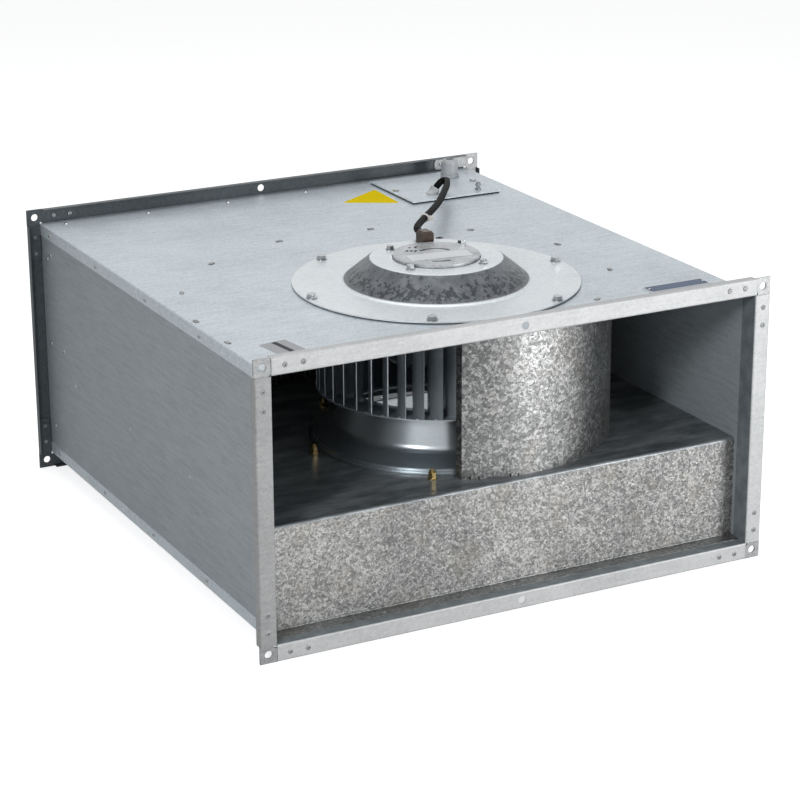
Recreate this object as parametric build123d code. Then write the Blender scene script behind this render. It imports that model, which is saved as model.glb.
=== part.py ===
from build123d import *
import os
from math import atan2, cos, pi, radians, sin, tan

# Centrifugal duct fan for a rectangular duct, as separate pieces, in millimetres.
# X runs across the outlet, Y from the outlet back to the inlet, and Z up.
# The origin is midway between the flange faces, at the bottom edges of the flanges.

# Duct and sheet
duct_width = 600.0
duct_height = 300.0
casing_length = 680.0
sheet = 1.0
bend = 2.0
gap = 0.3

# Flange rails and their corner brackets
rail_face = 20.0
rail_leg = 25.0
rail_lip = 10.0
bolt_radius = 4.5
bracket_plate = 2.5
bracket_arm = 45.0
bracket_notch_gap = 0.4
bracket_rivets = (15.0, 36.0)
rail_end_gap = 0.5

# Blind rivets
rivet_radius = 1.6
rivet_head_radius = 3.2
rivet_head = 1.0
rivet_tail = 1.2
rivet_hole_gap = 0.1
mandrel_radius = 0.9
mandrel_depth = 0.8

# Casing panels and their rivets
flap_height = 15.0
seam_rivet_drop = 9.0
seam_rivet_inset = 35.0
seam_rivet_pitch = 155.0
leg_rivet_pitch = 110.0
leg_rivet_inset = 20.0

# Partition: front wall, level floor and a ramp up to the roof, with turned-down edges along the sides
partition_rise = 121.0
front_wall_inset = 31.5
front_lip = 17.0
ramp_foot_inset = 79.0
ramp_top_inset = 28.0
edge_flange = 11.0
edge_flange_end = 8.0
edge_rivet_drop = 4.5
edge_rivet_inset = 22.0
edge_rivet_pitch = 179.0
ramp_rivets = (33.6, 154.0)
lip_rivet_inset = 21.0
lip_rivet_pitch = 163.0

# Motor axis, from the middle of the casing's width and from the outlet
axis_x = 8.0
axis_inset = 216.0

# Scroll: three arcs that open out one after another, then a straight run beside the left wall
scroll_centre_x = 28.0
scroll_centre_y = 8.0
scroll_radii = (181.0, 234.0, 273.0)
scroll_turns = (-116.0, -4.0, 84.0, 180.0)
scroll_run = 90.0
tongue_lip = 8.0
tongue_lip_turn = 135.0
tongue_tab = 14.0
first_tab = 60.0
tab_pitch = 123.0
end_tabs = (106.0, 20.0)
tab_width = 8.0
tab_fold = 3.5
tab_notch = 2.0
tab_notch_rise = 3.0
slot_gap = 0.3

# Inlet cone
partition_hole_radius = 150.0
cone_sheet = 1.2
cone_foot_radius = 144.0
cone_step = 2.5
cone_step_height = 2.0
cone_steps = 2
cone_crease_radius = 119.0
cone_crease_height = 18.5
cone_crease_bend = 12.0
cone_throat_radius = 107.0
cone_height = 64.0
cone_flange_radius = 163.0
cone_nut_height = 8.0
cone_nut_across = 8.5
cone_bolt_reach = 11.5
screw_circle_radius = 158.5

# Motor plate with its dome
service_hole_radius = 146.0
gasket_thickness = 1.5
gasket_radius = 163.5
motor_plate_radius = 165.5
motor_plate_sheet = 1.5
dome_foot_radius = 109.0
dome_top_radius = 76.5
dome_height = 27.0
dome_bend = 5.0
dome_bore_radius = 51.0

# Hexagon screws of size M6
thread_radius = 3.0
screw_hole_gap = 0.3
hex_across = 10.0
hex_height = 4.0
nut_height = 5.0
washer_radius = 6.5
washer_thickness = 1.2
thread_reach = 8.0

# Motor flange, bearings and shaft
boss_radius = 50.0
boss_height = 3.5
flange_radius = 68.0
flange_thickness = 6.0
flange_screw_radius = 60.5
flange_screw_turn = 33.0
flange_thread_radius = 2.5
flange_washer_radius = 5.6
flange_screw_across = 8.0
boss_recess = 3.0
boss_slots = ((21.0, 22.0, 96.0), (32.0, -124.0, 34.0))
boss_slot_width = 4.0
boss_window_turn = 40.0
boss_window_depth = 3.0
boss_windows = ((-16.0, 20.5, 6.0), (-20.0, 23.0, 6.0), (-24.5, 25.5, 6.0), (-8.0, 35.0, 7.0), (-15.5, 36.0, 4.0))
bearing_radius = 16.0
bearing_width = 10.0
bearing_race = 3.0
bearing_groove = 0.8
bearing_tube_wall = 4.0
bearing_tube_length = 82.0
shaft_radius = 6.0
shaft_running_gap = 0.03
shaft_top_reach = 0.5
shaft_collar_wall = 2.0
shaft_collar_height = 3.0
seat_gap = 0.02

# Stator and rotor
stator_radius = 54.5
stator_stack = 46.0
winding_height = 12.0
winding_radii = (26.0, 48.0)
air_gap = 0.6
rotor_ring_radius = 61.0
rotor_radius = 66.0
rotor_length = 106.0
rotor_floor = 4.0
rotor_roof_gap = 4.0
rotor_rim_radius = 82.0
rotor_rim = 3.0
rotor_boss_radius = 14.0
rotor_boss_height = 14.0
rotor_chamfer = 8.0
rotor_dimple_circle = 40.0
rotor_dimple_radius = 4.0
rotor_dimple_depth = 2.0

# Impeller
wheel_radius = 140.0
cone_lap = 2.0
wheel_roof_gap = 12.0
blade_count = 42
blade_sheet = 0.8
blade_inner_radius = 112.5
blade_tip_gap = 0.5
blade_sweep = 8.0
blade_curve = 34.0
blade_phase = -140.6
ring_sheet = 1.5
ring_lap = 1.0
ring_lug = (3.0, 2.5)
ring_lug_rise = 1.0
ring_lug_turn = 5.0
back_sheet = 1.2
wheel_screw_circle = 74.0
wheel_screw_count = 6
wheel_thread_radius = 2.0
wheel_screw_head = 2.4

# Terminal cover, tray and what stands on the cover
cover_width = 128.0
cover_depth = 122.0
cover_x = 211.0
cover_inset = 84.0
cover_sheet = 1.5
cover_gasket = 2.0
cover_gasket_inset = 1.5
tray_hole = (108.4, 96.4)
tray_shift = -3.0
tray_depth = 27.0
tray_lip = 6.0
cover_screw_inset = 7.0
cover_screw_radius = 2.0
cover_screw_head = 4.0
cover_screw_head_height = 2.6
cover_screw_reach = 6.0
stud_place = (41.0, -43.0)
stud_radius = 2.5
stud_height = 11.0
stud_nut_across = 8.0
stud_nut_height = 3.0
stud_nut_rise = 5.5
terminal_block = (62.0, 20.0, 22.0)
terminal_block_shift = -12.0
terminal_count = 5
terminal_screw_radius = 2.6
terminal_wire_radius = 2.2

# Supply gland
gland_place = (41.0, 34.0)
gland_bore_radius = 5.5
gland_collar_radius = 12.0
gland_collar_height = 4.5
gland_cap_radius = 11.2
gland_cap_height = 19.5
gland_seat_gap = 0.2
gland_thread_radius = 8.5
gland_nut_height = 5.0
gland_nut_across = 19.0
gland_thread_end = 2.0
gland_neck_radius = 8.2
gland_neck_height = 8.0
gland_cap_round = 5.0

# Motor lead, its gland on the motor flange, its grommet on the cover and its tie
lead_radius = 4.2
motor_gland_offset = (16.0, 57.5)
motor_gland_size = (16.0, 14.0, 15.0)
lead_exit_height = 10.0
lead_stub = 12.0
lead_first_run = 9.5
lead_shares = (
    (0.031, 0.084),
    (0.134, 0.166),
    (0.281, 0.269),
    (0.415, 0.362),
    (0.574, 0.483),
    (0.721, 0.604),
    (0.867, 0.733),
    (0.990, 0.843),
    (1.066, 0.925),
    (1.115, 0.975),
)
lead_heights = (40.3, 38.5, 36.8, 35.2, 32.0, 29.8, 27.2, 24.8, 22.5, 21.0)
motor_gland_chamfer = 3.0
grommet_offset = (-23.3, -35.0)
grommet_radius = 7.0
grommet_wall = 1.2
grommet_flange = 2.0
grommet_ring_radius = 6.6
grommet_ring_heights = (3.4, 5.6, 7.8)
grommet_ring_width = 1.2
grommet_length = 9.0
grommet_lean = 40.0
tie_distance = 80.0
tie_width = 3.6
tie_thickness = 1.2
tie_head = 5.5
tie_seat = 0.2

# Places and heights that follow
floor_z = rail_face
mid_z = rail_face + duct_height / 2
roof_z = rail_face + duct_height
panel_top = roof_z + 2 * sheet
partition_top = floor_z + partition_rise
half_length = casing_length / 2
axis_y = axis_inset - half_length
cover_y = half_length - cover_inset
ramp_foot = half_length - ramp_foot_inset
ramp_top = half_length - ramp_top_inset
wall_x = duct_width / 2 + sheet
panel_length = casing_length - 2 * bend
plate_top = panel_top + gasket_thickness + motor_plate_sheet
dome_top = plate_top + dome_height
boss_top = dome_top + boss_height
flange_under = dome_top - motor_plate_sheet - flange_thickness
cover_top = panel_top + cover_gasket + cover_sheet
cover_left = cover_x - cover_width / 2
cover_right = cover_x + cover_width / 2
cover_under = cover_top - cover_sheet
wheel_bottom = partition_top + cone_height - cone_lap
wheel_height = roof_z - wheel_roof_gap - wheel_bottom
grommet_place = (cover_x + grommet_offset[0], cover_y + grommet_offset[1])
motor_gland_place = (axis_x + motor_gland_offset[0], axis_y + motor_gland_offset[1])

parts = {}


def keep(name, *shapes):
    """Keep the shapes as one named piece."""
    parts[name] = Compound(children=[solid for shape in shapes for solid in shape.solids()])


def bent_sheet(points, thickness=sheet, radius=bend):
    """Section of a sheet bent along its outer corners, with the metal to the left of the way through them."""
    with BuildSketch() as section:
        with BuildLine():
            FilletPolyline(*points, radius=radius)
            offset(amount=thickness, side=Side.LEFT)
        make_face()
    return section.sketch


def turned(points):
    """Solid turned about the motor axis from an outline of (radius, height) points."""
    with BuildSketch(Plane.XZ) as section:
        with BuildLine():
            Polyline(*points, close=True)
        make_face()
    return Pos(axis_x, axis_y, 0) * revolve(section.sketch, Axis.Z)


def disc(radius, bottom, height, x=0.0, y=0.0):
    """Upright cylinder standing at a height."""
    return Pos(x, y, bottom + height / 2) * Cylinder(radius, height)


def tube(outer, inner, bottom, height, x=0.0, y=0.0):
    """Upright tube standing at a height."""
    return disc(outer, bottom, height, x, y) - disc(inner, bottom - 1, height + 2, x, y)


def around(radius, count, first=0.0):
    """Places evenly spaced on a circle about the motor axis."""
    step = 360 / count
    turns = [radians(first + step * i) for i in range(count)]
    return [(axis_x + radius * cos(turn), axis_y + radius * sin(turn)) for turn in turns]


def hexagon(bottom, height, x, y, bore=0.0, across=hex_across):
    """Hexagon head or nut, standing at a height."""
    body = Pos(x, y, bottom) * extrude(RegularPolygon(across / 2, 6, major_radius=False), height)
    if bore:
        body -= disc(bore, bottom - 1, height + 2, x, y)
    return body


def rivet(grip):
    """Blind rivet along Z, with its head above zero, its tail below the grip and its mandrel drawn in."""
    tail_radius = (rivet_radius + rivet_head_radius) / 2
    head = Pos(0, 0, rivet_head / 2) * Cone(rivet_head_radius, rivet_radius, rivet_head)
    shank = disc(rivet_radius, -grip, grip)
    tail = disc(tail_radius, -grip - rivet_tail, rivet_tail)
    mandrel = disc(mandrel_radius, rivet_head - mandrel_depth, 2 * mandrel_depth)
    return head + shank + tail - mandrel


def rivet_hole(place, depth):
    """Hole for a rivet, along the place's own Z."""
    return place * Cylinder(rivet_radius + rivet_hole_gap, depth)


# Rivets that hold each inlet leg to its panel, by where the heads sit and which way they point
def leg_rivet_places():
    y = half_length - leg_rivet_inset
    on_top = [Pos(x, y, panel_top) for x in leg_rivet_row(duct_width) if x < cover_left]
    below = [Pos(x, y, floor_z - 2 * sheet) * Rot(180, 0, 0) for x in leg_rivet_row(duct_width)]
    side_x = wall_x + sheet
    sides = [Pos(side_x, y, mid_z + z) * Rot(0, 90, 0) for z in leg_rivet_row(duct_height)]
    sides += [Pos(-side_x, y, mid_z + z) * Rot(0, -90, 0) for z in leg_rivet_row(duct_height)]
    return on_top + below + sides


def leg_rivet_row(span):
    """Places along a leg, an even pitch apart."""
    count = int(span // leg_rivet_pitch) + 1
    return [(i - (count - 1) / 2) * leg_rivet_pitch for i in range(count)]


def seam_rivet_places():
    """Rivets through the flaps of the top and bottom panels, on both sides."""
    count = int((casing_length - seam_rivet_inset) // seam_rivet_pitch)
    rows = [half_length - seam_rivet_inset - seam_rivet_pitch * i for i in range(count)]
    side_x = wall_x + 2 * sheet
    rise = duct_height / 2 + 2 * sheet - seam_rivet_drop
    places = []
    for y in rows:
        for z in (mid_z - rise, mid_z + rise):
            places.append(Pos(side_x, y, z) * Rot(0, 90, 0))
            places.append(Pos(-side_x, y, z) * Rot(0, -90, 0))
    return places


# The partition's ramp and the rivets round the partition
def ramp_slope():
    """Angle between the ramp and the floor."""
    return atan2(roof_z + sheet - gap - (partition_top - sheet), ramp_top - ramp_foot)


def ramp_point(along, behind):
    """Place on the ramp, by the way up from its foot and the way behind its rear face."""
    slope = ramp_slope()
    y = ramp_foot + along * cos(slope) + behind * sin(slope)
    return y, partition_top - sheet + along * sin(slope) - behind * cos(slope)


def lip_rivet_places():
    """Rivets through the partition's front lip, the leg below it and the bottom panel."""
    y = lip_rivet_inset - half_length
    count = int(duct_width // lip_rivet_pitch)
    return [Pos((i - (count - 1) / 2) * lip_rivet_pitch, y, floor_z + sheet) for i in range(count)]


def edge_rivet_places():
    """Rivets through the side panels into the partition's turned-down edges."""
    front = front_wall_inset - half_length
    count = int((ramp_foot - front - edge_rivet_inset) // edge_rivet_pitch)
    level = partition_top - sheet - edge_rivet_drop
    spots = [(ramp_foot - edge_rivet_inset - edge_rivet_pitch * i, level) for i in range(count)]
    spots += [ramp_point(along, edge_rivet_drop) for along in ramp_rivets]
    side_x = wall_x + sheet
    places = [Pos(side_x, y, z) * Rot(0, 90, 0) for y, z in spots]
    return places + [Pos(-side_x, y, z) * Rot(0, -90, 0) for y, z in spots]


# The scroll's inner face, seen from above
def scroll_edges():
    """Edges of the scroll's inner face from the tongue to its end beside the left wall."""
    centre = Vector(axis_x + scroll_centre_x, axis_y + scroll_centre_y)
    edges = []
    for i, radius in enumerate(scroll_radii):
        start, end = scroll_turns[i], scroll_turns[i + 1]
        if i:
            growth = radius - scroll_radii[i - 1]
            centre -= Vector(growth * cos(radians(start)), growth * sin(radians(start)))
        edges.append(CenterArc(centre, radius, start, end - start))
    last = edges[-1] @ 1
    edges.append(Line(last, last + scroll_run * (edges[-1] % 1)))
    return edges


scroll_wire = Wire(scroll_edges())


def scroll_places():
    """Distances along the scroll where its tabs stand."""
    even = scroll_wire.length - end_tabs[0] - tab_pitch / 2 - first_tab
    places = [first_tab + tab_pitch * i for i in range(int(even // tab_pitch) + 1)]
    return places + [scroll_wire.length - back for back in end_tabs]


def on_scroll(distance, z):
    """Plane at a place on the scroll, X along it and minus Y away from the wheel."""
    point = scroll_wire.position_at(distance, position_mode=PositionMode.LENGTH)
    along = scroll_wire.tangent_at(distance, position_mode=PositionMode.LENGTH)
    return Plane(origin=(point.X, point.Y, z), x_dir=along, z_dir=(0, 0, 1)).location


def scroll_slots(distances, z):
    """Slots through a sheet for the scroll's tabs."""
    slot = Pos(0, -sheet / 2, 0) * Box(tab_width + 2 * slot_gap, sheet + 2 * slot_gap, 6 * sheet)
    return [on_scroll(distance, z) * slot for distance in distances]


# Casing panels
def panel(top):
    """Top or bottom panel with its side flaps turned over the side panels."""
    edge = wall_x + 2 * sheet
    rise = duct_height / 2 + 2 * sheet
    flap = rise - flap_height
    section = bent_sheet([(edge, flap), (edge, rise), (-edge, rise), (-edge, flap)])
    body = extrude(Plane.XZ * section, panel_length / 2, both=True)
    if not top:
        body = Rot(180, 0, 0) * body
    return Pos(0, 0, mid_z) * body


def side_panel(side):
    """Flat side wall between the two folded panels."""
    size = (sheet, panel_length, duct_height)
    return Pos(side * (wall_x + sheet / 2), 0, mid_z) * Box(*size)


def make_casing():
    seams = seam_rivet_places() + edge_rivet_places()
    legs = leg_rivet_places()
    lips = lip_rivet_places()
    holes = [rivet_hole(place, 8 * sheet) for place in seams + legs + lips]

    top = panel(True)
    top -= disc(service_hole_radius, roof_z, 4 * sheet, axis_x, axis_y)
    top -= Pos(cover_x, cover_y + tray_shift, panel_top) * Box(*tray_hole, 4 * sheet)
    for x, y in around(screw_circle_radius, 6):
        top -= disc(thread_radius + screw_hole_gap, roof_z, 4 * sheet, x, y)
    for x, y in cover_screws():
        top -= disc(cover_screw_radius + screw_hole_gap, roof_z, 4 * sheet, x, y)
    top -= scroll_slots(scroll_places(), panel_top) + holes
    keep("top_panel", top)
    keep("bottom_panel", panel(False) - holes)
    keep("left_panel", side_panel(-1) - holes)
    keep("right_panel", side_panel(1) - holes)
    keep("seam_rivets", *[place * rivet(2 * sheet) for place in seams])
    lip_rivets = [place * rivet(3 * sheet) for place in lips]
    keep("leg_rivets", *[place * rivet(2 * sheet) for place in legs], *lip_rivets)


def rail(distance, length, drilled):
    """Top rail of a flange whose opening is centred on the origin, with its face at Y zero."""
    outer = distance + rail_face
    points = [(rail_lip, outer), (0, outer), (0, distance), (rail_leg, distance)]
    body = extrude(Plane.YZ * bent_sheet(points), length / 2, both=True)
    for side in (-1, 1):
        for offset_in in bracket_rivets:
            place = Pos(side * (length / 2 - offset_in), 0, distance + arm_middle())
            body -= rivet_hole(place * Rot(90, 0, 0), 4 * sheet)
    if drilled:
        place = Pos(0, 0, distance + rail_face / 2) * Rot(90, 0, 0)
        body -= place * Cylinder(bolt_radius, 4 * sheet)
    return body


def arm_reach():
    """Near and far edges of a bracket arm, outwards from the edge of the opening."""
    return 3 * sheet + bracket_notch_gap, rail_face - bend


def arm_middle():
    near, far = arm_reach()
    return (near + far) / 2


def bracket():
    """Corner bracket for the upper right corner, behind the faces of its two rails."""
    x, z = duct_width / 2, duct_height / 2
    near, far = arm_reach()
    middle, width = arm_middle(), far - near
    side = rail_face - rail_end_gap
    square = Pos(x + rail_end_gap + side / 2, z + rail_end_gap + side / 2) * Rectangle(side, side)
    arm = bracket_arm + rail_end_gap
    across = Pos(x - arm / 2 + side / 2, z + middle) * Rectangle(arm + side, width)
    down = Pos(x + middle, z - arm / 2 + side / 2) * Rectangle(width, arm + side)
    ends = [Pos(x - arm, z + middle), Pos(x + middle, z - arm)]
    notch = Pos(x, z) * Rectangle(2 * near, 2 * near)
    plan = square + across + down - notch
    plan = fillet([v for v in plan.vertices() if min(v.X - x, v.Y - z) < -arm / 2], width / 3)
    plan -= Pos(x + rail_face / 2, z + rail_face / 2) * Circle(bolt_radius)
    for offset_in in bracket_rivets:
        plan -= Pos(x - offset_in, z + middle) * Circle(rivet_radius + rivet_hole_gap)
        plan -= Pos(x + middle, z - offset_in) * Circle(rivet_radius + rivet_hole_gap)
    return Pos(0, sheet, 0) * extrude(Plane.XZ * plan, -bracket_plate)


def bracket_rivet_places():
    """Places of the rivets of all four brackets, heads on the flange face."""
    places = []
    for x in (-1, 1):
        for z in (-1, 1):
            for offset_in in bracket_rivets:
                level = z * (duct_height / 2 + arm_middle())
                places.append((x * (duct_width / 2 - offset_in), level))
                edge = x * (duct_width / 2 + arm_middle())
                places.append((edge, z * (duct_height / 2 - offset_in)))
    return [Pos(px, 0, pz) * Rot(90, 0, 0) for px, pz in places]


def make_flange(name, turn):
    """One flange of four rails, four brackets and their rivets, turned to its end of the casing."""
    seat = Pos(0, 0, mid_z) * Rot(0, 0, turn) * Pos(0, -half_length, 0)
    places = leg_rivet_places() + lip_rivet_places()
    holes = [rivet_hole(seat.inverse() * place, 8 * sheet) for place in places]
    sides = (("top", 0, True), ("right", 90, False), ("bottom", 180, True), ("left", 270, False))
    for side, roll, level in sides:
        distance = (duct_height if level else duct_width) / 2
        length = duct_width if level else duct_height
        body = Rot(0, roll, 0) * rail(distance, length, level) - holes
        keep(f"{name}_rail_{side}", seat * body)
    corner = bracket()
    low = mirror(corner, about=Plane.XY)
    for side, body in (("right", corner), ("left", mirror(corner, about=Plane.YZ))):
        keep(f"{name}_corner_top_{side}", seat * body)
    for side, body in (("right", low), ("left", mirror(low, about=Plane.YZ))):
        keep(f"{name}_corner_bottom_{side}", seat * body)
    grip = sheet + bracket_plate
    keep(f"{name}_corner_rivets", *[seat * place * rivet(grip) for place in bracket_rivet_places()])


def make_partition():
    """Plate that rises from the floor at the outlet, crosses the casing and rises to the roof."""
    front = -half_length + front_wall_inset + sheet
    low = partition_top - sheet
    points = [(front - sheet - front_lip, floor_z), (front, floor_z), (front, low), (ramp_foot, low)]
    points += [(ramp_top, roof_z + sheet - gap)]
    plate = extrude(Plane.YZ * bent_sheet(points), wall_x, both=True)
    slope = ramp_slope()
    rise = (half_length - rail_leg - gap - ramp_foot - edge_flange * sin(slope)) / cos(slope)
    length = ramp_foot - front - 2 * edge_flange_end
    level = Pos((ramp_foot + front) / 2, low - edge_flange / 2) * Rectangle(length, edge_flange)
    ends = [(edge_flange_end, 0), (edge_flange_end, edge_flange), (rise, edge_flange), (rise, 0)]
    upright = make_face(Polyline(*[ramp_point(*end) for end in ends], close=True).edges())
    edges = extrude(Plane.YZ * (level + upright), sheet)
    plate += Pos(wall_x - sheet, 0, 0) * edges + Pos(-wall_x, 0, 0) * edges
    plate -= [rivet_hole(place, 8 * sheet) for place in edge_rivet_places() + lip_rivet_places()]
    leg_end = -half_length + rail_leg + gap
    for side in (-1, 1):
        corner = Pos(side * wall_x, leg_end - front_lip, floor_z) * Box(2 * sheet, 2 * front_lip, 4 * sheet)
        plate -= corner
    plate -= disc(partition_hole_radius, low - 1, 4 * sheet, axis_x, axis_y)
    for x, y in around(screw_circle_radius, 6):
        plate -= disc(thread_radius + screw_hole_gap, low - 1, 4 * sheet, x, y)
    plate -= scroll_slots([tongue_tab] + scroll_places(), low)
    keep("partition_plate", plate)


def make_scroll():
    """Wrapper bent round the wheel, with tabs through the partition and the roof that are folded over."""
    edges = scroll_edges()
    tongue = edges[0] @ 0
    heading = radians(scroll_turns[0] + 90 + tongue_lip_turn)
    lip = Line(tongue + Vector(tongue_lip * cos(heading), tongue_lip * sin(heading)), tongue)
    end = edges[-1] @ 1
    with BuildSketch() as section:
        with BuildLine():
            add([lip] + edges)
            Line(end, (-wall_x, end.Y))
            offset(amount=sheet, side=Side.RIGHT)
        make_face()
    height = roof_z + sheet - partition_top
    body = Pos(0, 0, partition_top) * extrude(section.sketch, height)
    relief = Pos(0, -sheet / 2, 0) * Box(tab_width + 2 * tab_notch, 4 * sheet, 2 * tab_notch_rise)
    stem = Pos(0, -sheet / 2, 0) * Box(tab_width, sheet, 2 * sheet + tab_notch_rise)
    fold = Pos(0, -sheet - tab_fold / 2, 0) * Box(tab_width, tab_fold, sheet)
    ends = [(d, roof_z + sheet, 1) for d in scroll_places()]
    ends += [(d, partition_top, -1) for d in [tongue_tab] + scroll_places()]
    for distance, edge, way in ends:
        body -= on_scroll(distance, edge) * relief
        tab = Pos(0, 0, way * (2 * sheet - tab_notch_rise) / 2) * stem
        tab += Pos(0, 0, way * 1.5 * sheet) * fold
        body += on_scroll(distance, edge) * tab
    keep("scroll_wrapper", body)


def make_inlet_cone():
    """Pressed bell mouth that comes up through the partition into the wheel's ring."""
    seat = partition_top - sheet
    outer = cone_foot_radius + cone_steps * cone_step
    points = [(cone_flange_radius, seat), (outer, seat)]
    level = partition_top
    for i in range(cone_steps):
        level += cone_step_height
        points += [(outer - i * cone_step, level), (outer - (i + 1) * cone_step, level)]
    points += [
        (cone_foot_radius, level + cone_step_height),
        (cone_crease_radius, partition_top + cone_crease_height),
        (cone_throat_radius + cone_sheet, partition_top + cone_height),
    ]
    with BuildSketch(Plane.XZ) as section:
        with BuildLine() as line:
            Polyline(*points)
            fillet(line.vertices().sort_by_distance(points[-2])[0], cone_crease_bend)
            offset(amount=cone_sheet, side=Side.LEFT)
        make_face()
    cone = Pos(axis_x, axis_y, 0) * revolve(section.sketch, Axis.Z)
    under = seat - cone_sheet
    bolts = []
    nuts = []
    for x, y in around(screw_circle_radius, 6):
        cone -= disc(thread_radius + screw_hole_gap, under - 1, cone_sheet + 2, x, y)
        shank = disc(thread_radius, under, partition_top + cone_bolt_reach - under, x, y)
        bolts.append(hexagon(under - hex_height, hex_height, x, y) + shank)
        nut = hexagon(partition_top, cone_nut_height, x, y, across=cone_nut_across)
        nut += disc(cone_nut_across / 2 + washer_thickness, partition_top, washer_thickness, x, y)
        nuts.append(nut - disc(thread_radius + seat_gap, partition_top - 1, cone_nut_height + 2, x, y))
    keep("inlet_cone", cone)
    keep("cone_bolts", *bolts)
    keep("cone_nuts", *nuts)


def make_motor_plate():
    """Round plate with a pressed dome that carries the motor, its gasket, screws and nuts."""
    low = plate_top
    points = [(motor_plate_radius, low), (dome_foot_radius, low), (dome_top_radius, dome_top)]
    points += [(dome_bore_radius, dome_top)]
    section = Plane.XZ * bent_sheet(points, motor_plate_sheet, dome_bend)
    plate = Pos(axis_x, axis_y, 0) * revolve(section, Axis.Z)
    gasket = tube(gasket_radius, service_hole_radius, panel_top, gasket_thickness, axis_x, axis_y)
    screws = []
    nuts = []
    for x, y in around(screw_circle_radius, 6):
        hole = disc(thread_radius + screw_hole_gap, roof_z, 6 * gasket_thickness, x, y)
        plate -= hole
        gasket -= hole
        shank_bottom = roof_z + sheet - thread_reach
        shank = disc(thread_radius, shank_bottom, plate_top - shank_bottom, x, y)
        washer = disc(washer_radius, plate_top, washer_thickness, x, y)
        screws.append(hexagon(plate_top + washer_thickness, hex_height, x, y) + washer + shank)
        nut_bottom = roof_z + sheet - nut_height
        nuts.append(hexagon(nut_bottom, nut_height, x, y, thread_radius + seat_gap))
    for x, y in around(flange_screw_radius, 4, flange_screw_turn):
        plate -= disc(flange_thread_radius + screw_hole_gap, dome_top - 4, 8, x, y)
    keep("motor_plate", plate)
    keep("motor_plate_gasket", gasket)
    keep("motor_plate_screws", *screws)
    keep("motor_plate_nuts", *nuts)


def bearing_heights():
    """Bottoms of the upper and the lower bearing inside the tube."""
    tube_bottom = dome_top - bearing_tube_length
    return dome_top - 4 * bearing_width / 3, tube_bottom + bearing_width / 2


def make_motor_flange():
    """Cast flange under the dome with a boss through its bore and the tube that holds both bearings."""
    bottom = dome_top - bearing_tube_length
    bore_top = dome_top - bearing_width / 4
    flange = disc(flange_radius, flange_under, flange_thickness, axis_x, axis_y)
    flange += disc(boss_radius, flange_under, boss_top - flange_under, axis_x, axis_y)
    flange += disc(bearing_radius + bearing_tube_wall, bottom, dome_top - bottom, axis_x, axis_y)
    flange -= disc(bearing_radius + seat_gap, bottom - 1, bore_top - bottom + 1, axis_x, axis_y)
    recess = [SlotArc(CenterArc((0, 0), *slot), boss_slot_width) for slot in boss_slots]
    for x, y, width in boss_windows:
        recess.append(Pos(x, y) * Rot(0, 0, boss_window_turn) * Rectangle(width, boss_window_depth))
    recess = Sketch() + recess
    flange -= Pos(axis_x, axis_y, boss_top - boss_recess) * extrude(recess, 2 * boss_recess)
    screws = []
    for x, y in around(flange_screw_radius, 4, flange_screw_turn):
        flange -= disc(flange_thread_radius + seat_gap, flange_under - 1, 3 * flange_thickness, x, y)
        shank = disc(flange_thread_radius, flange_under, dome_top - flange_under, x, y)
        washer = disc(flange_washer_radius, dome_top, washer_thickness, x, y)
        head = hexagon(dome_top + washer_thickness, hex_height, x, y, across=flange_screw_across)
        screws.append(shank + washer + head)
    keep("motor_flange", flange)
    keep("motor_flange_screws", *screws)
    for name, low in zip(("bearing_upper", "bearing_lower"), bearing_heights()):
        body = tube(bearing_radius, shaft_radius + shaft_running_gap, low, bearing_width, axis_x, axis_y)
        races = (bearing_radius - bearing_race, shaft_radius + bearing_race)
        groove = tube(*races, low - 1, 1 + bearing_groove, axis_x, axis_y)
        keep(name, body - groove - Pos(0, 0, bearing_width + 1 - bearing_groove) * groove)


def make_motor():
    """Stator round the bearing tube, and the rotor shell that turns round the stator."""
    tube_outer = bearing_radius + bearing_tube_wall
    shell_top = flange_under - rotor_roof_gap
    shell_bottom = shell_top - rotor_length
    core_bottom = shell_bottom + rotor_length / 2 - stator_stack / 2
    inner, outer = winding_radii
    core = tube(stator_radius, tube_outer + seat_gap, core_bottom, stator_stack, axis_x, axis_y)
    core += tube(outer, inner, core_bottom - winding_height, winding_height, axis_x, axis_y)
    core += tube(outer, inner, core_bottom + stator_stack, winding_height, axis_x, axis_y)
    keep("stator", core)

    keep("rotor_ring", tube(rotor_ring_radius, stator_radius + air_gap, core_bottom, stator_stack, axis_x, axis_y))
    rim = wheel_bottom + wheel_height - rotor_rim
    bore = shaft_radius + seat_gap
    inside = rotor_ring_radius + seat_gap
    inner_floor = shell_bottom + rotor_floor
    boss_top = inner_floor + rotor_boss_height
    shell = turned([
        (bore, shell_bottom),
        (rotor_radius - rotor_chamfer, shell_bottom),
        (rotor_radius, shell_bottom + rotor_chamfer),
        (rotor_radius, rim),
        (rotor_rim_radius, rim),
        (rotor_rim_radius, rim + rotor_rim),
        (rotor_radius, rim + rotor_rim),
        (rotor_radius, shell_top),
        (inside, shell_top),
        (inside, inner_floor),
        (rotor_boss_radius, inner_floor),
        (rotor_boss_radius, boss_top),
        (bore, boss_top),
    ])
    for x, y in around(wheel_screw_circle, wheel_screw_count):
        shell -= disc(wheel_thread_radius + seat_gap, rim - 1, rotor_rim + 2, x, y)
    for x, y in around(rotor_dimple_circle, 6):
        shell -= disc(rotor_dimple_radius, shell_bottom - 1, 1 + rotor_dimple_depth, x, y)
    keep("rotor_shell", shell)
    shaft_top = bearing_heights()[0] + bearing_width + shaft_top_reach
    shaft = disc(shaft_radius, shell_bottom, shaft_top - shell_bottom, axis_x, axis_y)
    collar = bearing_heights()[1] + bearing_width + gap
    shaft += disc(shaft_radius + shaft_collar_wall, collar, shaft_collar_height, axis_x, axis_y)
    keep("motor_shaft", shaft)


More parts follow.
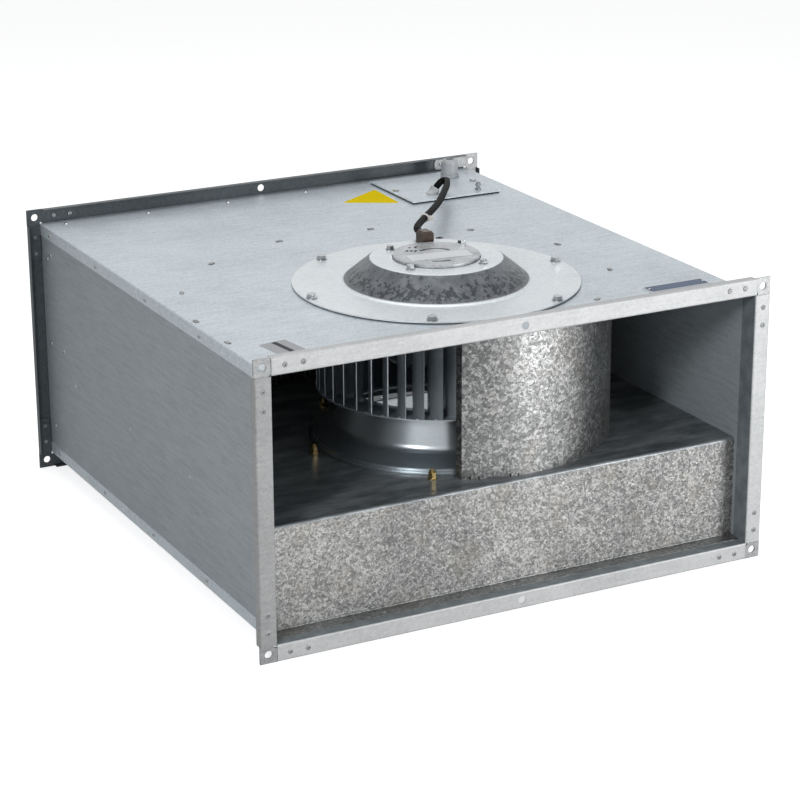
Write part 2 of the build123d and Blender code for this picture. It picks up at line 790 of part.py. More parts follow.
def blade_section():
    """Section of one blade: an arc that leans forward from its inner edge to its tip."""
    tip_radius = wheel_radius - blade_tip_gap
    tip = (tip_radius * cos(radians(blade_sweep)), tip_radius * sin(radians(blade_sweep)))
    with BuildSketch() as section:
        with BuildLine():
            RadiusArc((blade_inner_radius, 0), tip, -blade_curve)
            offset(amount=blade_sheet, side=Side.LEFT)
        make_face()
    return section.sketch


def make_impeller():
    """Wheel of forward curved blades between a back plate and a ring."""
    blade = Pos(0, 0, wheel_bottom) * extrude(blade_section(), wheel_height)
    step = 360 / blade_count
    seat = Pos(axis_x, axis_y, 0)
    blades = [seat * Rot(0, 0, blade_phase + step * i) * blade for i in range(blade_count)]
    keep("impeller_blades", *blades)
    ring_inner = blade_inner_radius - ring_lap
    ring = tube(wheel_radius, ring_inner, wheel_bottom - ring_sheet, ring_sheet, axis_x, axis_y)
    lug = Pos(wheel_radius - ring_lug[0] / 2, 0, wheel_bottom) * Box(*ring_lug, 2 * ring_lug_rise)
    first = blade_phase + ring_lug_turn
    ring += [seat * Rot(0, 0, first + step * i) * lug for i in range(blade_count)]
    keep("impeller_ring", ring)
    plate_bottom = wheel_bottom + wheel_height
    back = tube(wheel_radius, rotor_radius + gap, plate_bottom, back_sheet, axis_x, axis_y)
    screws = []
    for x, y in around(wheel_screw_circle, wheel_screw_count):
        back -= disc(wheel_thread_radius + screw_hole_gap, plate_bottom - 1, back_sheet + 2, x, y)
        shank = disc(wheel_thread_radius, plate_bottom - rotor_rim, rotor_rim + back_sheet, x, y)
        head = disc(2 * wheel_thread_radius, plate_bottom + back_sheet, wheel_screw_head, x, y)
        screws.append(shank + head)
    keep("impeller_back_plate", back)
    keep("impeller_screws", *screws)


def cover_screws():
    return [(cover_left + cover_screw_inset, cover_y), (cover_right - cover_screw_inset, cover_y)]


def make_terminals():
    """Cover on its gasket, the tray that hangs below it and the terminal block."""
    stand = Pos(cover_x, cover_y, 0)
    cover = stand * Pos(0, 0, cover_top - cover_sheet / 2) * Box(cover_width, cover_depth, cover_sheet)
    outside = (cover_width - 2 * cover_gasket_inset, cover_depth - 2 * cover_gasket_inset)
    window = Pos(0, tray_shift) * Rectangle(tray_hole[0] + 2 * gap, tray_hole[1] + 2 * gap)
    frame = extrude(Rectangle(*outside) - window, cover_gasket)
    gasket = stand * Pos(0, 0, panel_top) * frame
    screws = []
    for x, y in cover_screws():
        hole = disc(cover_screw_radius + screw_hole_gap, roof_z, 10, x, y)
        cover -= hole
        gasket -= hole
        low = roof_z - cover_screw_reach
        head = disc(cover_screw_head, cover_top, cover_screw_head_height, x, y)
        screws.append(disc(cover_screw_radius, low, cover_top - low, x, y) + head)
    stud_x, stud_y = cover_x + stud_place[0], cover_y + stud_place[1]
    gland_x, gland_y = cover_x + gland_place[0], cover_y + gland_place[1]
    cover -= disc(stud_radius + screw_hole_gap, roof_z, 10, stud_x, stud_y)
    cover -= disc(gland_thread_radius + gland_seat_gap, roof_z, 10, gland_x, gland_y)
    cover -= disc(lead_radius + gland_seat_gap, roof_z, 10, *grommet_place)
    keep("terminal_cover", cover)
    keep("terminal_gasket", gasket)
    keep("terminal_screws", *screws)

    wide, deep = tray_hole[0] - 2 * gap, tray_hole[1] - 2 * gap
    outer = Pos(0, 0, roof_z + sheet - tray_depth / 2) * Box(wide, deep, tray_depth)
    lip = Pos(0, 0, roof_z + sheet / 2) * Box(wide + 2 * tray_lip, deep + 2 * tray_lip, sheet)
    hollow = Pos(0, 0, roof_z + 2 * sheet - tray_depth / 2)
    hollow *= Box(wide - 2 * sheet, deep - 2 * sheet, tray_depth)
    tray = stand * Pos(0, tray_shift, 0) * (outer + lip - hollow)
    for x, y in cover_screws():
        tray -= disc(cover_screw_radius + screw_hole_gap, roof_z - tray_lip, 2 * tray_lip, x, y)
    keep("terminal_tray", tray)
    length, depth, height = terminal_block
    block = Pos(0, 0, height / 2) * Box(length, depth, height)
    for i in range(terminal_count):
        x = (i - (terminal_count - 1) / 2) * length / terminal_count
        block -= Pos(x, 0, height) * Cylinder(terminal_screw_radius, height / 3)
        block -= Pos(x, 0, height / 3) * Rot(90, 0, 0) * Cylinder(terminal_wire_radius, depth + 2)
    tray_floor = roof_z + 2 * sheet - tray_depth
    keep("terminal_block", Pos(cover_x + terminal_block_shift, cover_y, tray_floor) * block)

    stud_bottom = cover_under - stud_nut_height
    stud = disc(stud_radius, stud_bottom, cover_top + stud_height - stud_bottom, stud_x, stud_y)
    for low in (stud_bottom, cover_top, cover_top + stud_nut_rise):
        stud += hexagon(low, stud_nut_height, stud_x, stud_y, across=stud_nut_across)
    keep("earth_stud", stud)


def make_supply_gland():
    """Cable gland on the cover: a body with a lock nut, and a domed cap with an open bore."""
    x, y = cover_x + gland_place[0], cover_y + gland_place[1]
    nut_bottom = cover_under - gland_nut_height
    low = nut_bottom - gland_thread_end
    neck_height = gland_collar_height + gland_neck_height
    body = disc(gland_collar_radius, cover_top, gland_collar_height, x, y)
    body += disc(gland_neck_radius, cover_top, neck_height, x, y)
    body += disc(gland_thread_radius, low, cover_top - low, x, y)
    body += hexagon(nut_bottom, gland_nut_height, x, y, across=gland_nut_across)
    body -= disc(gland_bore_radius, low - 1, cover_top + neck_height - low + 2, x, y)
    keep("gland_body", body)
    cap_bottom = cover_top + gland_collar_height
    cap = disc(gland_cap_radius, cap_bottom, gland_cap_height, x, y)
    cap = fillet(cap.edges().group_by(Axis.Z)[-1], gland_cap_round)
    cap -= disc(gland_bore_radius, cap_bottom - 1, gland_cap_height + 2, x, y)
    cap -= disc(gland_neck_radius + gland_seat_gap, cap_bottom - 1, 1 + gland_neck_height + gland_seat_gap, x, y)
    keep("gland_cap", cap)


def on_grommet(length):
    """Point on the middle line of the leaning grommet, so far from the cover."""
    lean = radians(grommet_lean)
    x, y = grommet_place
    return x + length * sin(lean), y, cover_top + length * cos(lean)


def lead_points():
    """Route of the motor lead from its gland over the panel and down into the grommet."""
    x, y = motor_gland_place
    start = (x, y + motor_gland_size[1] / 2, dome_top + lead_exit_height)
    across = grommet_place[0] - start[0]
    back = grommet_place[1] - start[1]
    points = [start, (x, start[1] + lead_first_run, start[2])]
    for (share_x, share_y), height in zip(lead_shares, lead_heights):
        points.append((x + share_x * across, start[1] + share_y * back, panel_top + height))
    return points + [on_grommet(grommet_length + lead_stub), on_grommet(grommet_length)]


def lead_radii(points):
    """Bend radius at each corner of a route, as large as its two runs allow."""
    radii = []
    for before, corner, after in zip(points, points[1:], points[2:]):
        back = Vector(*corner) - Vector(*before)
        ahead = Vector(*after) - Vector(*corner)
        turn = radians(back.get_angle(ahead))
        radii.append(0.45 * min(back.length, ahead.length) / tan(turn / 2))
    return radii


def make_lead():
    """Motor lead with its gland, grommet and tie."""
    points = lead_points()
    radii = lead_radii(points)
    path = FilletPolyline(*points, radius=radii)
    start = Plane(origin=path @ 0, z_dir=path % 0)
    lead = sweep(start * Circle(lead_radius), path=path)
    expected = pi * lead_radius ** 2 * path.length
    print("lead length", round(path.length, 1), "smallest bend radius", round(min(radii), 1))
    print("lead volume", round(lead.volume), "section times length", round(expected))
    print("lead bend radii", [round(radius, 1) for radius in radii])
    keep("motor_lead", lead)

    x, y = motor_gland_place
    wide, deep, tall = motor_gland_size
    block = Pos(x, y, dome_top + tall / 2) * Box(wide, deep, tall)
    block = chamfer(block.edges().filter_by(Axis.Y).group_by(Axis.Z)[-1], motor_gland_chamfer)
    keep("motor_gland", block)
    neck = disc(grommet_radius - grommet_wall, -grommet_radius, grommet_radius + grommet_length)
    rings = [disc(grommet_ring_radius, low, grommet_ring_width) for low in grommet_ring_heights]
    leaning = Pos(*grommet_place, cover_top) * Rot(0, grommet_lean, 0) * (neck + rings)
    grommet = disc(grommet_radius, cover_top, grommet_flange, *grommet_place)
    grommet += split(leaning, bisect_by=Plane.XY.offset(cover_top), keep=Keep.TOP)
    keep("lead_grommet", grommet)

    middle = path.position_at(tie_distance, position_mode=PositionMode.LENGTH)
    along = path.tangent_at(tie_distance, position_mode=PositionMode.LENGTH)
    band_plane = Plane(origin=middle, z_dir=along)
    inner = lead_radius + seat_gap
    band = extrude(band_plane * (Circle(inner + tie_thickness) - Circle(inner)), tie_width / 2, both=True)
    head_seat = Pos(inner + tie_thickness + tie_head / 2 - tie_seat, 0, 0)
    head = band_plane.location * head_seat * Box(tie_head, tie_head, tie_width + 1)
    keep("lead_tie", band + head)


def main():
    make_casing()
    make_flange("outlet", 0)
    make_flange("inlet", 180)
    make_partition()
    make_scroll()
    make_inlet_cone()
    make_motor_plate()
    make_motor_flange()
    make_motor()
    make_impeller()
    make_terminals()
    make_supply_gland()
    make_lead()
    os.makedirs("parts", exist_ok=True)
    for name, shape in parts.items():
        export_step(shape, f"parts/{name}.step")
    print(len(parts), "pieces written")


main()
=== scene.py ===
"""Dressed model of a centrifugal duct fan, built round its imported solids, in metres."""

import logging
import math
from dataclasses import dataclass, field
from enum import Enum
from typing import Any, Callable, ClassVar, Optional, Sequence, Union

import bpy
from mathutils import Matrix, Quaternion, Vector


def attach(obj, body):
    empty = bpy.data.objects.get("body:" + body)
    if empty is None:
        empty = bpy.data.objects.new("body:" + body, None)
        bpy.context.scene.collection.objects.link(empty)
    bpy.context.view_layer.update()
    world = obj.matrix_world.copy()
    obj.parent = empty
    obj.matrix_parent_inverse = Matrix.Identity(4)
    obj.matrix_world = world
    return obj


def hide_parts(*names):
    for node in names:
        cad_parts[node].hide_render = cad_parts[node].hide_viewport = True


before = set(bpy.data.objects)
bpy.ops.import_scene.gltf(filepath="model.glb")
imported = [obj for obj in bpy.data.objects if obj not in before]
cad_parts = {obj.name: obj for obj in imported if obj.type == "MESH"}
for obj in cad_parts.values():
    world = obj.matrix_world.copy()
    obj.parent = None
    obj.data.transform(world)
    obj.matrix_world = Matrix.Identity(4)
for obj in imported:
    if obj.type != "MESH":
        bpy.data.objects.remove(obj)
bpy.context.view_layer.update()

log = logging.getLogger("duct_fan")

Colour = tuple[float, float, float]
Point = tuple[float, float, float]
Pair = tuple[float, float]

# Where the motor stands, and the heights of the top panel and of the motor's boss.
AXIS = (0.008, -0.124)
PANEL_TOP = 0.322
BOSS_TOP = 0.3555

# The middle of a noise or cell colour, and the two whites of the studio.
HALF = (0.5, 0.5, 0.5)
WHITE = (1.0, 1.0, 1.0, 1.0)
COOL_WHITE = (0.95, 0.97, 1.0, 1.0)


class Signal:
    """A shader socket that takes plain arithmetic; each operator adds one Math node."""

    def __init__(self, graph: "Graph", socket: bpy.types.NodeSocket) -> None:
        """Wrap a socket.

        Args:
            graph: the material graph the socket belongs to.
            socket: the output socket to read from.
        """
        self.graph = graph
        self.socket = socket

    def _maths(self, operation: str, first: Any, second: Any = None) -> "Signal":
        """Add a Math node and return its value."""
        inputs = {0: first} if second is None else {0: first, 1: second}
        return self.graph.node("ShaderNodeMath", {"operation": operation}, inputs)[0]

    def __add__(self, other: Any) -> "Signal":
        """Sum."""
        return self._maths("ADD", self, other)

    def __sub__(self, other: Any) -> "Signal":
        """Difference."""
        return self._maths("SUBTRACT", self, other)

    def __rsub__(self, other: Any) -> "Signal":
        """Difference, with the number first."""
        return self._maths("SUBTRACT", other, self)

    def __mul__(self, other: Any) -> "Signal":
        """Product."""
        return self._maths("MULTIPLY", self, other)

    def __pow__(self, other: Any) -> "Signal":
        """Power."""
        return self._maths("POWER", self, other)

    def __abs__(self) -> "Signal":
        """Size without its sign."""
        return self._maths("ABSOLUTE", self)

    def clamp(self, low: float = 0.0, high: float = 1.0) -> "Signal":
        """Keep the value between two limits."""
        return self._maths("MINIMUM", self._maths("MAXIMUM", self, low), high)

    def inverse(self) -> "Signal":
        """One less the value."""
        return 1.0 - self

    def band(self, start: float, end: float, edge: float) -> "Signal":
        """Go from 0 to 1 at start and back to 0 at end.

        Args:
            start: value at which the band begins.
            end: value at which the band ends.
            edge: half the width of each of its borders.

        Returns:
            1 inside the band, 0 outside.
        """
        inside = self.fade(start - edge, start + edge)
        return inside * self.fade(end - edge, end + edge).inverse()

    def fade(self, start: float, end: float) -> "Signal":
        """Go smoothly from 0 at start to 1 at end.

        Args:
            start: value at which the result is 0.
            end: value at which the result is 1.

        Returns:
            The faded value.
        """
        settings = {"interpolation_type": "SMOOTHSTEP", "clamp": True}
        inputs = {"Value": self, "From Min": start, "From Max": end}
        return self.graph.node("ShaderNodeMapRange", settings, inputs)[0]


class Graph:
    """The nodes of one material or world."""

    def __init__(self, tree: bpy.types.NodeTree) -> None:
        """Start with an empty node tree."""
        self.tree = tree
        tree.nodes.clear()

    def node(
        self, kind: str, settings: Optional[dict] = None, inputs: Optional[dict] = None,
    ) -> list[Signal]:
        """Add a node, set it up and join its sockets.

        Args:
            kind: the node's type name.
            settings: properties set before the sockets; "stops" fills a colour ramp.
            inputs: socket name or number to a value or a Signal.

        Returns:
            The node's enabled outputs.
        """
        made = self.tree.nodes.new(kind)
        for key, value in (settings or {}).items():
            if key == "stops":
                self._fill_ramp(made.color_ramp, value)
            else:
                setattr(made, key, value)
        for key, value in (inputs or {}).items():
            socket = self._input(made, key)
            if isinstance(value, Signal):
                self.tree.links.new(value.socket, socket)
            else:
                socket.default_value = value
        return [Signal(self, out) for out in made.outputs if out.enabled]

    def read(self, kind: str, *names: str) -> list[Signal]:
        """Add a node and take the outputs with these names."""
        made = self.tree.nodes.new(kind)
        return [Signal(self, made.outputs[name]) for name in names]

    @staticmethod
    def _input(made: bpy.types.Node, key: Union[str, int]) -> bpy.types.NodeSocket:
        """Find an enabled input by name or number."""
        if isinstance(key, int):
            return made.inputs[key]
        return next(socket for socket in made.inputs if socket.name == key and socket.enabled)

    @staticmethod
    def _fill_ramp(ramp: bpy.types.ColorRamp, stops: Sequence[tuple[float, Colour]]) -> None:
        """Set a ramp's stops."""
        while len(ramp.elements) < len(stops):
            ramp.elements.new(0.5)
        for element, (place, colour) in zip(ramp.elements, stops):
            element.position = place
            element.color = (*colour, 1.0)

    def places(self) -> Signal:
        """Object coordinates."""
        return self.read("ShaderNodeTexCoord", "Object")[0]

    def stretched(self, vector: Signal, scale: Point) -> Signal:
        """Coordinates scaled."""
        return self.node("ShaderNodeMapping", None, {"Vector": vector, "Scale": scale})[0]

    def noise(
        self, vector: Signal, scale: float, detail: float = 3.0, rough: float = 0.55,
    ) -> list[Signal]:
        """Noise value and colour."""
        inputs = {"Vector": vector, "Scale": scale, "Detail": detail, "Roughness": rough}
        return self.node("ShaderNodeTexNoise", None, inputs)

    def cells(self, vector: Signal, scale: float) -> list[Signal]:
        """Voronoi distance, colour and cell place."""
        inputs = {"Vector": vector, "Scale": scale, "Randomness": 1.0}
        return self.node("ShaderNodeTexVoronoi", None, inputs)

    def vector(self, operation: str, first: Any, second: Any) -> Signal:
        """Vector Math result."""
        return self.node("ShaderNodeVectorMath", {"operation": operation}, {0: first, 1: second})[0]

    def scaled(self, vector: Signal, amount: Any) -> Signal:
        """Vector times a number."""
        inputs = {0: vector, "Scale": amount}
        return self.node("ShaderNodeVectorMath", {"operation": "SCALE"}, inputs)[0]

    def warped(self, vector: Signal, cause: Signal, reach: float) -> Signal:
        """Coordinates pushed about by a noise colour, as far as a reach."""
        push = self.vector("SUBTRACT", cause, HALF)
        return self.vector("ADD", vector, self.scaled(push, reach))

    def axes(self, vector: Signal) -> list[Signal]:
        """Three numbers of a vector."""
        return self.node("ShaderNodeSeparateXYZ", None, {0: vector})

    def ramp(self, value: Signal, stops: Sequence[tuple[float, Colour]]) -> Signal:
        """Colour from a value."""
        return self.node("ShaderNodeValToRGB", {"stops": stops}, {0: value})[0]

    def mix(self, factor: Any, first: Any, second: Any) -> Signal:
        """Mixed colour."""
        made = self.tree.nodes.new("ShaderNodeMix")
        made.data_type = "RGBA"
        for number, value in ((0, factor), (6, first), (7, second)):
            socket = made.inputs[number]
            if isinstance(value, Signal):
                self.tree.links.new(value.socket, socket)
            elif isinstance(value, tuple):
                socket.default_value = (*value, 1.0)
            else:
                socket.default_value = value
        return Signal(self, made.outputs[2])

    def bump(self, height: Signal, distance: float, strength: float) -> Signal:
        """Normal from a height."""
        inputs = {"Height": height, "Distance": distance, "Strength": strength}
        return self.node("ShaderNodeBump", None, inputs)[0]

    def open_sky(self, reach: float) -> Signal:
        """1 on open metal, towards 0 in holes and corners within a reach."""
        return self.node("ShaderNodeAmbientOcclusion", {"samples": 8}, {"Distance": reach})[1]

    def surface(self, inputs: dict) -> None:
        """Finish the material with one principled surface."""
        shader = self.node("ShaderNodeBsdfPrincipled", None, inputs)[0]
        self.node("ShaderNodeOutputMaterial", None, {"Surface": shader})


def new_material(name: str) -> tuple[bpy.types.Material, Graph]:
    """Make an empty node material.

    Args:
        name: the material's name.

    Returns:
        The material and its graph.
    """
    material = bpy.data.materials.new(name)
    material.use_nodes = True
    return material, Graph(material.node_tree)


@dataclass(frozen=True)
class ZincCoat:
    """Hot-dip zinc on sheet steel, with crystals that show as flakes of different brightness."""

    name: str
    dark: Colour
    middle: Colour
    pale: Colour
    flake: float = 0.006
    contrast: float = 1.0
    streak: float = 0.15
    along: Point = (30.0, 320.0, 320.0)
    speck: float = 0.0
    stain: Colour = HALF
    stained: float = 0.0
    cloud: float = 0.9
    rough: Pair = (0.30, 0.50)
    metal: float = 0.85
    tilt: float = 0.35

    # Sizes, in flakes or per flake.
    WARP_SCALE: ClassVar[float] = 0.55
    WARP_REACH: ClassVar[float] = 2.2
    SMALL_CELLS: ClassVar[float] = 2.6
    # Scales of the slow changes, per metre.
    CLOUD_SCALE: ClassVar[float] = 11.0
    STAIN_SCALE: ClassVar[float] = 26.0
    GRIT_SCALE: ClassVar[float] = 520.0
    # What each part adds to the tone, and where the three colours lie on it.
    LARGE_SHARE: ClassVar[float] = 0.40
    SMALL_SHARE: ClassVar[float] = 0.32
    GROUND: ClassVar[float] = 0.14
    STREAK_GAIN: ClassVar[float] = 1.6
    STOPS: ClassVar[Point] = (0.15, 0.50, 0.88)
    # Noise values between which stains and grit appear.
    STAIN_FADE: ClassVar[Pair] = (0.50, 0.68)
    GRIT_FADE: ClassVar[Pair] = (0.60, 0.72)
    GRIT_SHADE: ClassVar[float] = 0.55
    # Height of the small crystals against the large ones, and of both in the bump.
    SMALL_HEIGHT: ClassVar[float] = 0.6
    BUMP_STRENGTH: ClassVar[float] = 0.35

    def make(self) -> bpy.types.Material:
        """Build the material."""
        material, graph = new_material(self.name)
        colour, rough, normal = self.coat(graph)
        graph.surface({
            "Base Color": colour,
            "Roughness": rough,
            "Normal": normal,
            "Metallic": self.metal,
        })
        return material

    def coat(self, graph: Graph, calm: Optional[Signal] = None) -> tuple[Signal, Signal, Signal]:
        """Colour, roughness and normal of the coat.

        Args:
            graph: the graph to add to.
            calm: 1 where the coat is smooth, 0 where its crystals stand out.

        Returns:
            Colour, roughness and normal.
        """
        places = graph.places()
        cause = graph.noise(places, self.WARP_SCALE / self.flake)[1]
        bent = graph.warped(places, cause, self.flake * self.WARP_REACH)
        large = graph.cells(bent, 1.0 / self.flake)
        small = graph.cells(bent, self.SMALL_CELLS / self.flake)
        small_tone = graph.axes(small[1])[1]
        colour = self.tint(graph, places, self.tone(graph, places, large, small_tone))
        low, high = self.rough
        rough = small_tone * (high - low) + low
        height = self.facets(graph, bent, small) * self.SMALL_HEIGHT
        height = self.facets(graph, bent, large) + height
        if calm is not None:
            height = height * calm.inverse()
        normal = graph.bump(height, self.tilt, self.BUMP_STRENGTH)
        return colour, rough, normal

    def tone(self, graph: Graph, places: Signal, large: list[Signal], small: Signal) -> Signal:
        """Brightness of the coat, from its crystals, clouds and rolling streaks.

        Args:
            graph: the graph to add to.
            places: the object coordinates.
            large: distance, colour and place of each large crystal.
            small: tone of the small crystals.

        Returns:
            A value from 0 for the darkest to 1 for the palest.
        """
        flakes = graph.axes(large[1])[0] * self.LARGE_SHARE + small * self.SMALL_SHARE
        cloud = graph.noise(places, self.CLOUD_SCALE, 5.0, 0.6)[0]
        tone = flakes + (cloud - 0.5) * self.cloud + self.GROUND
        streaks = graph.noise(graph.stretched(places, self.along), 1.0, 4.0, 0.6)[0]
        drawn = (streaks - 0.5) * self.STREAK_GAIN + 0.5
        tone = tone * (1.0 - self.streak) + drawn * self.streak
        return ((tone - 0.5) * self.contrast + 0.5).clamp()

    def tint(self, graph: Graph, places: Signal, tone: Signal) -> Signal:
        """Colour of the coat, with its stains and grit.

        Args:
            graph: the graph to add to.
            places: the object coordinates.
            tone: brightness of the coat.

        Returns:
            The colour.
        """
        colour = graph.ramp(tone, list(zip(self.STOPS, (self.dark, self.middle, self.pale))))
        if self.stained:
            patch = graph.noise(places, self.STAIN_SCALE, 4.0, 0.65)[0].fade(*self.STAIN_FADE)
            colour = graph.mix(patch * self.stained, colour, self.stain)
        if self.speck:
            grit = graph.noise(places, self.GRIT_SCALE, 2.0, 0.7)[0].fade(*self.GRIT_FADE)
            deep = tuple(channel * self.GRIT_SHADE for channel in self.dark)
            colour = graph.mix(grit * self.speck, colour, deep)
        return colour

    @staticmethod
    def facets(graph: Graph, places: Signal, cells: list[Signal]) -> Signal:
        """Height of crystal faces, each leaning its own way.

        Args:
            graph: the graph to add to.
            places: the coordinates that the cells were made from.
            cells: distance, colour and place of each cell.

        Returns:
            The height.
        """
        lean = graph.vector("SUBTRACT", cells[1], HALF)
        away = graph.vector("SUBTRACT", places, cells[2])
        settings = {"operation": "DOT_PRODUCT"}
        return graph.node("ShaderNodeVectorMath", settings, {0: lean, 1: away})[-1]


@dataclass(frozen=True)
class RailCoat:
    """Zinc sheet of a flange rail: clean on face and lip, with painted shade in dull slate on the
    leg in the duct.
    """

    name: str
    face: ZincCoat
    half_width: float = 0.3003
    half_height: float = 0.1503
    middle: float = 0.170
    edge: float = 0.0003
    # Painted shade for the leg in the duct: its dark and its pale colour.
    leg_painted_shade: Colour = (0.15, 0.175, 0.19)
    leg_painted_pale: Colour = (0.21, 0.24, 0.255)
    cloud_scale: float = 60.0

    def make(self) -> bpy.types.Material:
        """Build the material."""
        material, graph = new_material(self.name)
        colour, rough, normal = self.face.coat(graph)
        places = graph.places()
        x, _, z = graph.axes(places)
        wide = self.outside(abs(x), self.half_width)
        high = self.outside(abs(z - self.middle), self.half_height)
        within = wide.inverse() * high.inverse()
        cloud = graph.noise(places, self.cloud_scale, 4.0)[0].fade(0.35, 0.65)
        # Painted shade: the leg in the duct is coloured dark slate.
        leg = graph.mix(cloud, self.leg_painted_shade, self.leg_painted_pale)
        graph.surface({
            "Base Color": graph.mix(within, colour, leg),
            "Roughness": rough,
            "Normal": normal,
            "Metallic": self.face.metal,
        })
        return material

    def outside(self, away: Signal, reach: float) -> Signal:
        """1 where a distance is over its reach, with a narrow border."""
        return away.fade(reach - self.edge, reach + self.edge)


@dataclass(frozen=True)
class FarRailCoat:
    """Zinc sheet of the inlet flange: clean on its outer face, with painted shade in dark slate on
    all behind the face.
    """

    name: str
    face: ZincCoat
    back: ZincCoat

    def make(self) -> bpy.types.Material:
        """Build the material."""
        material, graph = new_material(self.name)
        colour, rough, normal = self.face.coat(graph)
        # Painted shade: everything not facing outwards takes the dark back coat.
        dark, _, _ = self.back.coat(graph)
        facing = graph.read("ShaderNodeNewGeometry", "Normal")[0]
        outside = graph.axes(facing)[1].fade(0.4, 0.6)
        graph.surface({
            "Base Color": graph.mix(outside, dark, colour),
            "Roughness": rough,
            "Normal": normal,
            "Metallic": self.face.metal,
        })
        return material


@dataclass(frozen=True)
class StepCoat:
    """Zinc sheet of the partition: flaked on its front, smooth on its floor and foot, where it is
    darkened with painted shade.
    """

    name: str
    front: ZincCoat
    foot: Pair = (0.0225, 0.0245)
    floor_start: Pair = (0.1370, 0.1390)
    floor_end: Pair = (0.1425, 0.1445)
    # Painted shade: the floor's darker colours, standing in for the shade inside the duct.
    floor_painted_shade: Colour = (0.09, 0.102, 0.110)
    floor_painted_pale: Colour = (0.26, 0.282, 0.295)
    floor_along: Point = (18.0, 60.0, 60.0)
    floor_dulled: float = 0.25
    # Painted shade: near-black mixed into the foot.
    foot_painted_shade: Colour = (0.05, 0.058, 0.064)
    foot_share: float = 0.45

    def make(self) -> bpy.types.Material:
        """Build the material."""
        material, graph = new_material(self.name)
        places = graph.places()
        z = graph.axes(places)[2]
        level = z.fade(*self.floor_start) * z.fade(*self.floor_end).inverse()
        foot = z.fade(*self.foot).inverse()
        colour, rough, normal = self.front.coat(graph, (level + foot).clamp())
        streaks = graph.noise(graph.stretched(places, self.floor_along), 1.0, 5.0, 0.65)[0]
        # Painted shade: the floor takes darker, smooth colours than the front.
        smooth = graph.mix(streaks.fade(0.3, 0.7), self.floor_painted_shade, self.floor_painted_pale)
        # Painted shade: the foot is darkened towards near-black.
        colour = graph.mix(foot * self.foot_share, colour, self.foot_painted_shade)
        graph.surface({
            "Base Color": graph.mix(level, colour, smooth),
            "Roughness": rough,
            "Normal": normal,
            "Metallic": self.front.metal - level * self.floor_dulled,
        })
        return material


@dataclass(frozen=True)
class DomeCoat:
    """Zinc sheet drawn into a dome: its flank is stretched, grey, and mottled near its foot."""

    name: str
    flat: ZincCoat
    flank_inner: float = 0.0765
    flank_outer: float = 0.1065
    edge: float = 0.0008
    flank_shade: Colour = (0.085, 0.094, 0.104)
    flank_pale: Colour = (0.150, 0.162, 0.175)
    flank_cloud: float = 85.0
    mottle: Colour = (0.034, 0.039, 0.045)
    mottle_scale: float = 150.0
    mottle_fade: Pair = (0.575, 0.63)
    # Shares of the flank, from its top, between which the mottles thicken and thin out.
    mottle_thickens: Pair = (0.22, 0.62)
    mottle_thins: Pair = (0.84, 0.97)
    mottle_gain: float = 0.10
    torn_scale: float = 260.0
    torn_reach: float = 0.007

    def make(self) -> bpy.types.Material:
        """Build the material."""
        material, graph = new_material(self.name)
        colour, rough, normal = self.flat.coat(graph)
        places = graph.places()
        x, y, _ = graph.axes(places)
        across = (x - AXIS[0]) * (x - AXIS[0]) + (y - AXIS[1]) * (y - AXIS[1])
        radius = across ** 0.5
        mask = radius.band(self.flank_inner, self.flank_outer, self.edge)
        cloud = graph.noise(places, self.flank_cloud, 4.0, 0.6)[0]
        grey = graph.mix(cloud.fade(0.3, 0.7), self.flank_shade, self.flank_pale)
        thickens = [self.part_way(share) for share in self.mottle_thickens]
        thins = [self.part_way(share) for share in self.mottle_thins]
        low = radius.fade(*thickens) * radius.fade(*thins).inverse()
        cause = graph.noise(places, self.torn_scale)[1]
        torn = graph.warped(places, cause, self.torn_reach)
        blot = graph.noise(torn, self.mottle_scale, 5.0, 0.62)[0] + low * self.mottle_gain
        flank = graph.mix(blot.fade(*self.mottle_fade), grey, self.mottle)
        graph.surface({
            "Base Color": graph.mix(mask, colour, flank),
            "Roughness": rough,
            "Normal": normal,
            "Metallic": self.flat.metal,
        })
        return material

    def part_way(self, share: float) -> float:
        """Radius at a share of the flank, counted from its top."""
        return self.flank_inner + share * (self.flank_outer - self.flank_inner)


@dataclass(frozen=True)
class Plain:
    """A moulded, rubber, cast or machined finish with a fine grain, a slow change of tone and,
    where asked, painted shade in holes and corners.
    """

    name: str
    colour: Colour
    rough: float = 0.5
    metal: float = 0.0
    grain: float = 0.0008
    uneven: float = 0.12
    relief: float = 0.05
    coat: float = 0.0
    shine: float = 0.5
    # Reach of the painted shade in holes and corners; 0 for none.
    painted_shade_reach: float = 0.0

    SLOW_SCALE: ClassVar[float] = 45.0
    # Painted shade: near-black mixed into the holes, gaps and corners that ambient occlusion finds.
    PAINTED_SHADE_COLOUR: ClassVar[Colour] = (0.010, 0.011, 0.012)
    PAINTED_SHADE_SHARE: ClassVar[float] = 0.92
    ROUGH_SPREAD: ClassVar[float] = 0.16

    def make(self) -> bpy.types.Material:
        """Build the material."""
        material, graph = new_material(self.name)
        places = graph.places()
        fine = graph.noise(places, 1.0 / self.grain, 2.0)[0]
        slow = graph.noise(places, self.SLOW_SCALE)[0]
        tone = (fine * 0.5 + slow * 0.5).fade(0.25, 0.75)
        low = tuple(channel * (1.0 - self.uneven) for channel in self.colour)
        high = tuple(min(1.0, channel * (1.0 + self.uneven)) for channel in self.colour)
        colour = graph.mix(tone, low, high)
        # Painted shade: darken the holes, gaps and corners found by ambient occlusion.
        if self.painted_shade_reach:
            painted_shade = graph.open_sky(self.painted_shade_reach).fade(0.15, 0.85).inverse()
            colour = graph.mix(painted_shade * self.PAINTED_SHADE_SHARE, colour, self.PAINTED_SHADE_COLOUR)
        graph.surface({
            "Base Color": colour,
            "Roughness": (fine - 0.5) * self.ROUGH_SPREAD + self.rough,
            "Metallic": self.metal,
            "Coat Weight": self.coat,
            "Specular IOR Level": self.shine,
            "Normal": graph.bump(fine, self.grain, self.relief),
        })
        return material


